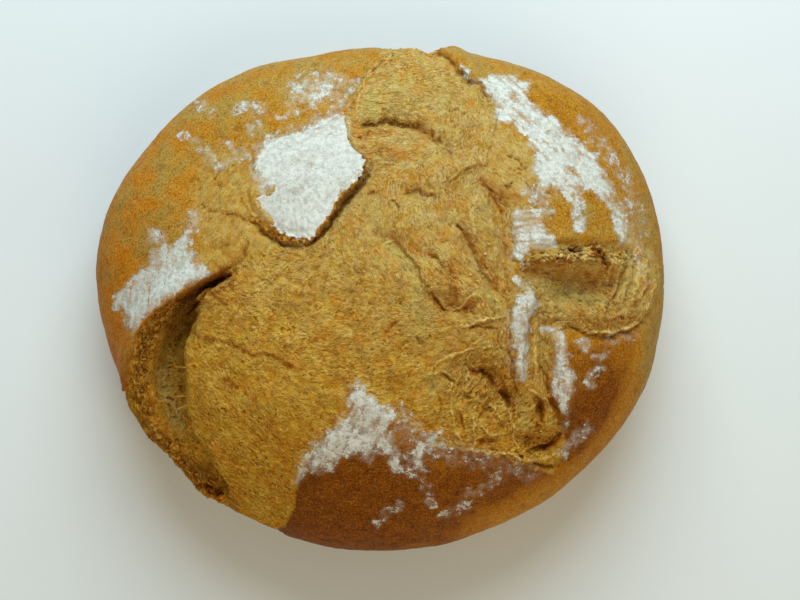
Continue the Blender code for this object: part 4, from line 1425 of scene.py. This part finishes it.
def make_grains(trees):
    """Grains and small clumps of flour on the floured patches."""
    draw = np.random.default_rng(11)

    def chance(plan):
        cover = np.maximum(flour_cover(plan), smooth_step(-0.5, 1.5, depth_inside(plan, FLAP)))
        return smooth_step(0.25, 1.1, cover + 0.3 * noise(plan, 2.2, 64))

    middles = landing(trees, scatter(chance, GRAINS, draw))
    sizes = draw.uniform(0.07, 0.20, len(middles))
    sizes *= 1.0 + 0.8 * (draw.uniform(0.0, 1.0, len(middles)) > 0.95)
    return nuggets("flour_grains", middles, sizes, 0.35, draw)


# ---------------------------------------------------------------- materials

class Nodes:
    """Short names for the shader nodes of one material."""

    def __init__(self, name):
        self.material = bpy.data.materials.new(name)
        self.material.use_nodes = True
        self.tree = self.material.node_tree
        self.shader = self.tree.nodes["Principled BSDF"]
        self.object_point = self.add("ShaderNodeTexCoord").outputs["Object"]

    def add(self, kind, **settings):
        node = self.tree.nodes.new(kind)
        for name, value in settings.items():
            setattr(node, name, value)
        return node

    def put(self, value, socket):
        """Links a socket, or sets a constant."""
        if isinstance(value, bpy.types.NodeSocket):
            self.tree.links.new(value, socket)
        else:
            socket.default_value = value

    def attribute(self, name):
        return self.add("ShaderNodeAttribute", attribute_name=name).outputs["Fac"]

    def direction(self, name):
        return self.add("ShaderNodeAttribute", attribute_name=name).outputs["Vector"]

    def math(self, operation, a, b=0.0):
        node = self.add("ShaderNodeMath", operation=operation)
        self.put(a, node.inputs[0])
        self.put(b, node.inputs[1])
        return node.outputs[0]

    def dot(self, a, b):
        node = self.add("ShaderNodeVectorMath", operation="DOT_PRODUCT")
        self.put(a, node.inputs[0])
        self.put(b, node.inputs[1])
        return node.outputs["Value"]

    def noise(self, size_mm, detail=2.0, roughness=0.5, point=None):
        """Noise from 0 to 1 with lumps of about this size."""
        node = self.add("ShaderNodeTexNoise")
        self.put(point or self.object_point, node.inputs["Vector"])
        node.inputs["Scale"].default_value = 1.0 / (size_mm * MM)
        node.inputs["Detail"].default_value = detail
        node.inputs["Roughness"].default_value = roughness
        return node.outputs["Fac"]

    def cells(self, size_mm):
        """The distance to the nearest of scattered points about this far apart."""
        node = self.add("ShaderNodeTexVoronoi")
        self.put(self.object_point, node.inputs["Vector"])
        node.inputs["Scale"].default_value = 1.0 / (size_mm * MM)
        return node.outputs["Distance"]

    def ranged(self, value, low, high, out_low=0.0, out_high=1.0):
        """A soft step of the value from low to high."""
        node = self.add("ShaderNodeMapRange", interpolation_type="SMOOTHSTEP")
        slots = ("Value", "From Min", "From Max", "To Min", "To Max")
        for slot, given in zip(slots, (value, low, high, out_low, out_high)):
            self.put(given, node.inputs[slot])
        return node.outputs["Result"]

    def mix(self, share, a, b, blend="MIX"):
        node = self.add("ShaderNodeMix", data_type="RGBA", blend_type=blend)
        self.put(share, node.inputs[0])
        self.put(a, node.inputs[6])
        self.put(b, node.inputs[7])
        return node.outputs[2]

    def crest(self, noise_value, width):
        """1 along the lines where the noise is 0.5, falling to 0 at this distance from it."""
        off = self.math("ABSOLUTE", self.math("SUBTRACT", noise_value, 0.5))
        return self.ranged(off, 0.0, width, 1.0, 0.0)

    def warped(self, size_mm, reach_mm):
        """The object's coordinates, moved a little by noise."""
        moved = self.add("ShaderNodeTexNoise")
        self.put(self.object_point, moved.inputs["Vector"])
        moved.inputs["Scale"].default_value = 1.0 / (size_mm * MM)
        moved.inputs["Detail"].default_value = 1.0
        node = self.add("ShaderNodeVectorMath", operation="MULTIPLY_ADD")
        self.put(moved.outputs["Color"], node.inputs[0])
        node.inputs[1].default_value = (2.0 * reach_mm * MM,) * 3
        self.put(self.object_point, node.inputs[2])
        return node.outputs[0]

    def comb_share(self, turn, power):
        """How much the stored comb runs in this direction, from 0 to 1."""
        toward = self.dot(self.direction("comb"), (math.cos(2.0 * turn), math.sin(2.0 * turn), 0.0))
        return self.math("POWER", self.math("MAXIMUM", toward, 0.0), power)

    def drawn_out(self, point, turn, stretch, place=(0.0, 0.0, 0.0)):
        """The coordinates of a pattern that is drawn out in this direction."""
        node = self.add("ShaderNodeMapping", vector_type="TEXTURE")
        self.put(point, node.inputs["Vector"])
        node.inputs["Rotation"].default_value = (0.0, 0.0, turn)
        node.inputs["Scale"].default_value = (stretch, 1.0, 1.0)
        node.inputs["Location"].default_value = place
        return node.outputs[0]

    def web(self, size_mm, stretch, width, point, detail=1.0, shift=0.0):
        """Crossing crests from 0 to 1, drawn out along the stored comb."""
        found = None
        for turn in map(math.radians, WEB_TURNS):
            drawn = self.drawn_out(point, turn, stretch, (shift, shift, 0.5 * turn))
            crest = self.crest(self.noise(size_mm, detail, point=drawn), width)
            line = self.math("MULTIPLY", self.comb_share(turn, 0.5), crest)
            found = line if found is None else self.math("MAXIMUM", found, line)
        return found

    def combed(self, size_mm, stretch, point):
        """Noise from 0 to 1, drawn out along the stored comb."""
        total, weights = 0.0, 1e-4
        for turn in map(math.radians, WEB_TURNS):
            weight = self.comb_share(turn, 2.0)
            drawn = self.noise(size_mm, 2.0, 0.7, self.drawn_out(point, turn, stretch))
            total = self.math("ADD", total, self.math("MULTIPLY", weight, drawn))
            weights = self.math("ADD", weights, weight)
        return self.math("DIVIDE", total, weights)

    def finish(self, roughness, specular):
        """Sets how rough the surface is, and how much it mirrors."""
        self.put(roughness, self.shader.inputs["Roughness"])
        self.shader.inputs["Specular IOR Level"].default_value = specular

    def bump(self, height, distance_mm, strength):
        node = self.add("ShaderNodeBump")
        self.put(height, node.inputs["Height"])
        node.inputs["Distance"].default_value = distance_mm * MM
        node.inputs["Strength"].default_value = strength
        self.put(node.outputs["Normal"], self.shader.inputs["Normal"])


def rgb(red, green, blue):
    """A colour as seen, from 0 to 255, as the shader's linear colour."""
    seen = np.array((red, green, blue)) / 255.0
    linear = np.where(seen <= 0.04045, seen / 12.92, ((seen + 0.055) / 1.055) ** 2.4)
    return (*linear.tolist(), 1.0)


def grey(value):
    return (value, value, value, 1.0)


def grainy(n, bread, grain):
    """Fine light and dark grain on a bread colour. The darker it is, the more amber."""
    bread = n.mix(n.ranged(grain, 0.50, 0.72), bread, rgb(106, 92, 52), "ADD")
    bread = n.mix(n.ranged(grain, 0.56, 0.42, 0.0, 0.75), bread, rgb(255, 247, 146), "MULTIPLY")
    return n.mix(n.ranged(grain, 0.50, 0.30, 0.0, 0.85), bread, rgb(152, 108, 36), "MULTIPLY")


def crumb_fibres(n):
    """Light fibres and the dark gaps between them, each from 0 to 1."""
    point = n.warped(3.0, 1.0)
    patchy = n.ranged(n.noise(5.0), 0.36, 0.58, 0.55, 1.0)
    fine = n.math("MULTIPLY", n.web(0.8, 4.5, 0.07, point), 0.85)
    light = n.math("MAXIMUM", n.web(1.3, 6.0, 0.06, point, 2.0), fine)
    gaps = n.web(1.1, 4.0, 0.07, point, 2.0, 0.3)
    return n.math("MULTIPLY", light, patchy), n.math("MULTIPLY", gaps, patchy)


def toast_and_shade(n, crumb, patches):
    """Amber, then brown with dark specks: crumb that caught heat, and painted shade in hollows and under
    overhangs.
    """
    amount = n.math("MULTIPLY", n.attribute("toast_and_shade"), n.ranged(patches, 0.34, 0.56, 0.35, 1.05))
    crumb = n.mix(n.ranged(amount, 0.05, 0.6, 0.0, 0.85), crumb, rgb(192, 118, 12))
    crumb = n.mix(n.ranged(amount, 0.45, 0.95, 0.0, 0.92), crumb, rgb(124, 56, 0))
    specks = n.ranged(n.noise(1.5, 3.0, 0.7), 0.54, 0.68)
    specks = n.math("MULTIPLY", specks, n.ranged(amount, 0.3, 0.7, 0.0, 0.75))
    return n.mix(specks, crumb, rgb(62, 30, 2))


def shade_cracks(n, bread):
    """Paints shade into the cracks: darkens the bread where the crack mark lies."""
    amount = n.attribute("crack")
    bread = n.mix(n.ranged(amount, 0.0, 0.7, 0.0, 0.75), bread, rgb(140, 80, 6))
    return n.mix(n.ranged(amount, 0.55, 1.0, 0.0, 0.9), bread, rgb(70, 34, 2))


def crumb_color(n, light, gaps):
    """Golden crumb, amber where it caught the heat and pale where it stayed moist, with fibres and gaps."""
    patches = n.noise(3.2, 4.0, 0.6)
    wide = n.noise(7.0, 3.0, 0.6)
    other = n.noise(6.0, 2.0, 0.5, n.warped(9.0, 4.0))
    # Paler towards the top of the plan: partly the crumb's own colour, partly painted light.
    fair = n.attribute("fair")
    deep = n.mix(fair, rgb(172, 116, 8), rgb(174, 124, 28))
    bright = n.mix(fair, rgb(212, 165, 42), rgb(203, 172, 94))
    crumb = n.mix(n.ranged(patches, 0.38, 0.62), deep, bright)
    amber = n.mix(fair, rgb(190, 116, 4), rgb(192, 126, 14))
    cream = n.mix(fair, rgb(198, 158, 66), rgb(200, 175, 114))
    rosy = n.mix(fair, rgb(206, 152, 62), rgb(202, 160, 104))
    crumb = n.mix(n.ranged(wide, 0.51, 0.60, 0.0, 0.8), crumb, amber)
    crumb = n.mix(n.ranged(wide, 0.48, 0.40, 0.0, 0.7), crumb, cream)
    crumb = n.mix(n.ranged(other, 0.54, 0.66, 0.0, 0.6), crumb, rosy)
    crumb = n.mix(n.ranged(n.attribute("pale"), 0.1, 1.0, 0.0, 0.75), crumb, rgb(188, 172, 98))
    crumb = toast_and_shade(n, crumb, patches)
    # Painted shade in the relief's hollows; lighter on its crests.
    relief = n.attribute("relief")
    crumb = n.mix(n.ranged(relief, -0.12, -1.05, 0.0, 0.85), crumb, rgb(130, 74, 2))
    crumb = n.mix(n.ranged(relief, 0.35, 1.0, 0.0, 0.62), crumb, rgb(228, 190, 104))
    crumb = n.mix(n.math("MULTIPLY", gaps, n.ranged(fair, 0.0, 1.0, 0.9, 0.5)), crumb, rgb(112, 68, 8))
    crumb = n.mix(n.math("MULTIPLY", light, 0.62), crumb, n.mix(fair, rgb(236, 192, 92), rgb(225, 197, 134)))
    crumb = n.mix(n.math("MULTIPLY", n.attribute("strand"), 0.7), crumb, rgb(238, 206, 130))
    strands = n.math("SUBTRACT", n.combed(0.8, 3.0, n.warped(2.2, 1.2)), 0.5)
    strands = n.math("MULTIPLY", strands, n.ranged(n.noise(4.0), 0.36, 0.60, 0.55, 1.2))
    strands = n.math("MULTIPLY", strands, n.ranged(fair, 0.3, 1.0, 1.0, 0.68))
    return shade_cracks(n, grainy(n, crumb, n.math("ADD", strands, 0.5)))


def skin_color(n, crumb):
    """Baked skin, from golden through amber, redder on the left, to dark brown with painted shade low down,
    with tiny pale blisters.
    """
    mottle = n.math("SUBTRACT", n.noise(12.0, 4.0, 0.6), 0.5)
    uneven = n.math("MULTIPLY", mottle, n.ranged(n.attribute("baked"), 0.0, 0.9, 1.9, 0.8))
    baked = n.math("ADD", n.attribute("baked"), uneven)
    # Redder towards the left: painted warm light on that side.
    left = n.ranged(n.dot(n.object_point, (1.0, 0.0, 0.0)), -0.05, -0.11)
    golden = n.mix(left, rgb(183, 124, 22), rgb(206, 126, 12))
    amber = n.mix(left, rgb(172, 111, 20), rgb(204, 112, 4))
    skin = n.mix(n.ranged(baked, -0.3, 0.3), rgb(172, 140, 70), golden)
    skin = n.mix(n.ranged(baked, 0.25, 0.65), skin, amber)
    skin = n.mix(n.ranged(baked, 0.65, 1.1), skin, rgb(124, 66, 2))
    dark = n.ranged(baked, 0.2, 1.0)
    flecks = n.noise(4.0, 4.0, 0.65)
    skin = n.mix(n.ranged(flecks, 0.5, 0.64, 0.0, 0.6), skin, n.mix(dark, rgb(192, 142, 50), rgb(152, 82, 8)))
    skin = n.mix(n.ranged(flecks, 0.46, 0.34, 0.0, 0.55), skin, n.mix(dark, rgb(146, 88, 10), rgb(96, 40, 0)))
    blisters = n.math("MULTIPLY", n.ranged(n.cells(2.0), 0.28, 0.10), n.ranged(n.noise(7.0), 0.46, 0.6))
    skin = n.mix(n.math("MULTIPLY", blisters, 0.6), skin, n.mix(dark, rgb(214, 174, 100), rgb(176, 112, 34)))
    dashes = n.web(1.1, 3.6, 0.03, n.object_point)
    dashes = n.math("MULTIPLY", dashes, n.ranged(n.noise(5.0), 0.40, 0.6, 0.0, 0.6))
    skin = n.mix(dashes, skin, n.mix(dark, rgb(204, 158, 76), rgb(168, 102, 24)))
    stretched = n.mix(0.25, crumb, rgb(176, 136, 62))
    # Painted shade in the hollows of the stretched skin's wrinkles.
    stretched = n.mix(n.ranged(n.attribute("relief"), 0.0, -0.9, 0.0, 0.5), stretched, rgb(146, 92, 12))
    edge = n.math("ADD", n.attribute("stretched"), n.math("MULTIPLY", mottle, 0.9))
    skin = n.mix(n.ranged(edge, 0.2, 0.8), grainy(n, skin, n.noise(0.8, 3.0, 0.75)), stretched)
    # Brown where the toast and shade mark lies, its painted shade included.
    skin = n.mix(n.math("MULTIPLY", n.ranged(n.attribute("toast_and_shade"), 0.3, 1.0), 0.7), skin, rgb(132, 66, 6))
    return shade_cracks(n, skin)


def flour_share(n):
    """How much of what it lies on the flour hides: grains, and a thin film round them."""
    amount = n.attribute("flour")
    grain = n.math("SUBTRACT", n.noise(0.55, 2.0, 0.7), 0.5)
    flecks = n.math("SUBTRACT", n.noise(2.4, 5.0, 0.75), 0.5)
    clouds = n.math("SUBTRACT", n.noise(7.0, 3.0, 0.6), 0.5)
    rough = n.math("ADD", n.math("MULTIPLY", grain, 1.7), n.math("MULTIPLY", flecks, 3.0))
    rough = n.math("ADD", rough, n.math("MULTIPLY", clouds, 2.6))
    rough = n.math("MULTIPLY", rough, n.ranged(amount, 0.03, 0.30))
    grains = n.ranged(n.math("ADD", amount, rough), 0.46, 0.92, 0.0, 0.95)
    film = n.ranged(n.math("ADD", amount, flecks), 0.05, 1.1, 0.0, 0.58)
    return n.math("MAXIMUM", grains, film)


def under_flour(n, bread, rough, specular, height):
    """Adds the stored flour to a material with this colour, roughness and height, and links them all."""
    floured = flour_share(n)
    flour = n.mix(n.ranged(n.noise(2.0, 4.0, 0.75), 0.32, 0.62), rgb(196, 197, 184), rgb(236, 238, 224))
    thin = n.ranged(n.attribute("flour"), 1.4, 1.0, 0.35, 1.0)
    specks = n.math("MULTIPLY", n.ranged(n.noise(0.7, 2.0, 0.75), 0.5, 0.28, 0.0, 0.6), thin)
    flour = n.mix(specks, flour, rgb(132, 116, 94))
    n.put(n.mix(floured, bread, flour), n.shader.inputs["Base Color"])
    n.finish(n.mix(floured, rough, grey(0.95)), specular)
    clumps = n.math("ADD", 0.25, n.math("MULTIPLY", n.noise(0.8, 4.0, 0.75), 0.45))
    n.bump(n.math("ADD", height, n.math("MULTIPLY", floured, clumps)), 0.4, 0.8)
    return n.material


def crumb_height(n, light, gaps):
    """Fibres stand out and gaps sink in."""
    return n.math("SUBTRACT", n.math("MULTIPLY", light, 0.4), n.math("MULTIPLY", gaps, 0.35))


def crumb_material():
    """Torn crumb."""
    n = Nodes("torn crumb")
    light, gaps = crumb_fibres(n)
    return under_flour(n, crumb_color(n, light, gaps), grey(0.9), 0.01, crumb_height(n, light, gaps))


def skin_material():
    """Baked skin, with crumb on the edges where it is torn."""
    n = Nodes("baked skin")
    light, gaps = crumb_fibres(n)
    skin = n.ranged(n.attribute("skin"), 0.3, 0.9)
    crumb = crumb_color(n, light, gaps)
    bread = n.mix(skin, crumb, skin_color(n, crumb))
    pimples = n.math("MULTIPLY", n.noise(1.2, 4.0, 0.8), 1.3)
    skin_height = n.math("ADD", pimples, n.math("MULTIPLY", n.noise(3.0), 0.5))
    plain = n.math("MULTIPLY", skin, n.ranged(n.attribute("stretched"), 0.2, 0.8, 1.0, 0.3))
    height = n.mix(plain, crumb_height(n, light, gaps), skin_height)
    return under_flour(n, bread, n.mix(plain, grey(0.9), grey(0.5)), 0.04, height)


def fibre_material():
    """Loose crumb: each fibre or bit a little lighter or darker."""
    n = Nodes("loose crumb")
    own = n.math("MULTIPLY", n.attribute("shade"), 0.7)
    shade = n.math("ADD", own, n.math("MULTIPLY", n.noise(3.2, 2.0), 0.5))
    # Paler towards the top of the plan, partly painted light.
    dark = n.mix(n.attribute("fair"), rgb(172, 116, 12), rgb(172, 126, 42))
    light = n.mix(n.attribute("fair"), rgb(232, 188, 88), rgb(224, 194, 128))
    crumb = n.mix(n.ranged(shade, 0.1, 0.9), dark, light)
    crumb = n.mix(n.ranged(n.attribute("pale"), 0.1, 1.0, 0.0, 0.6), crumb, rgb(206, 190, 116))
    crumb = toast_and_shade(n, crumb, n.noise(3.2, 4.0, 0.6))
    n.put(crumb, n.shader.inputs["Base Color"])
    n.finish(0.9, 0.01)
    return n.material


def grain_material():
    """White flour."""
    n = Nodes("flour")
    n.put(n.mix(n.noise(3.0), rgb(206, 208, 196), rgb(230, 234, 222)), n.shader.inputs["Base Color"])
    n.finish(0.95, 0.1)
    return n.material


# ---------------------------------------------------------------- floor, light and camera

FLOOR_SIZE = 12.0
FLOOR_COLOR = (230, 237, 235)
# The lights: name, place, width, power in watts, and colour. They face AIM.
LIGHTS = (
    ("window", (0.03, 0.69, 0.63), 0.80, 8.75, (0.84, 0.995, 1.12)),
    ("fill", (0.25, -0.7, 0.8), 1.2, 4.7, (1.0, 0.82, 0.54)),
)
AIM = (0.0, 0.0, 0.04)
ROOM_COLOR = (1.0, 0.94, 0.86, 1.0)
ROOM_STRENGTH = 0.21


def make_floor():
    bpy.ops.object.select_all(action="DESELECT")
    bpy.ops.mesh.primitive_plane_add(size=FLOOR_SIZE, location=(0.0, 0.0, 0.0))
    floor = bpy.context.object
    floor.name = "floor"
    n = Nodes("floor")
    n.put(rgb(*FLOOR_COLOR), n.shader.inputs["Base Color"])
    n.finish(0.7, 0.2)
    floor.data.materials.append(n.material)


def add_area_light(name, place, size, power, color):
    data = bpy.data.lights.new(name, "AREA")
    data.shape = "DISK"
    data.size = size
    data.energy = power
    data.color = color
    light = bpy.data.objects.new(name, data)
    light.location = place
    light.rotation_mode = "QUATERNION"
    light.rotation_quaternion = (Vector(AIM) - Vector(place)).to_track_quat("-Z", "Y")
    bpy.context.scene.collection.objects.link(light)


def make_lights():
    for light in LIGHTS:
        add_area_light(*light)
    world = bpy.data.worlds.new("room")
    world.use_nodes = True
    background = world.node_tree.nodes["Background"]
    background.inputs["Color"].default_value = ROOM_COLOR
    background.inputs["Strength"].default_value = ROOM_STRENGTH
    bpy.context.scene.world = world


def make_camera():
    data = bpy.data.cameras.new("camera")
    data.sensor_width = SENSOR
    data.lens = SENSOR * (EYE[2] - GIRTH_Z) / VIEW_WIDTH
    camera = bpy.data.objects.new("camera", data)
    camera.location = EYE
    bpy.context.scene.collection.objects.link(camera)
    bpy.context.scene.camera = camera


# ---------------------------------------------------------------- making it

def finish_piece(piece, material):
    piece.data.materials.clear()
    piece.data.materials.append(material)
    piece.data.shade_smooth()
    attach(piece, "root")


def main():
    make_camera()
    loaf = even_copy()
    thin_underside(loaf)
    raise_skin(loaf)
    refine_crumb(loaf)
    shape_loaf(loaf)
    store_marks(loaf.data, plan_of(coordinates(loaf.data)))
    loaf_trees = [tree_of(loaf)]
    crumb = part_crumb(loaf)
    flap = make_flap(loaf_trees)
    loose = [make_fibres(loaf_trees, *kind) for kind in FIBRE_KINDS]
    loose += [make(loaf_trees) for make in (make_strands, make_crumbs, make_flakes)]
    grains = make_grains([*loaf_trees, tree_of(flap)])

    finishes = (
        (skin_material(), (loaf, flap)),
        (crumb_material(), crumb),
        (fibre_material(), loose),
        (grain_material(), (grains,)),
    )
    for material, pieces in finishes:
        for piece in pieces:
            finish_piece(piece, material)
    for piece in (loaf, *crumb):
        keep_shading(piece)
        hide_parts("loaf")
    make_floor()
    make_lights()
    bpy.context.scene.view_settings.view_transform = "Standard"


main()
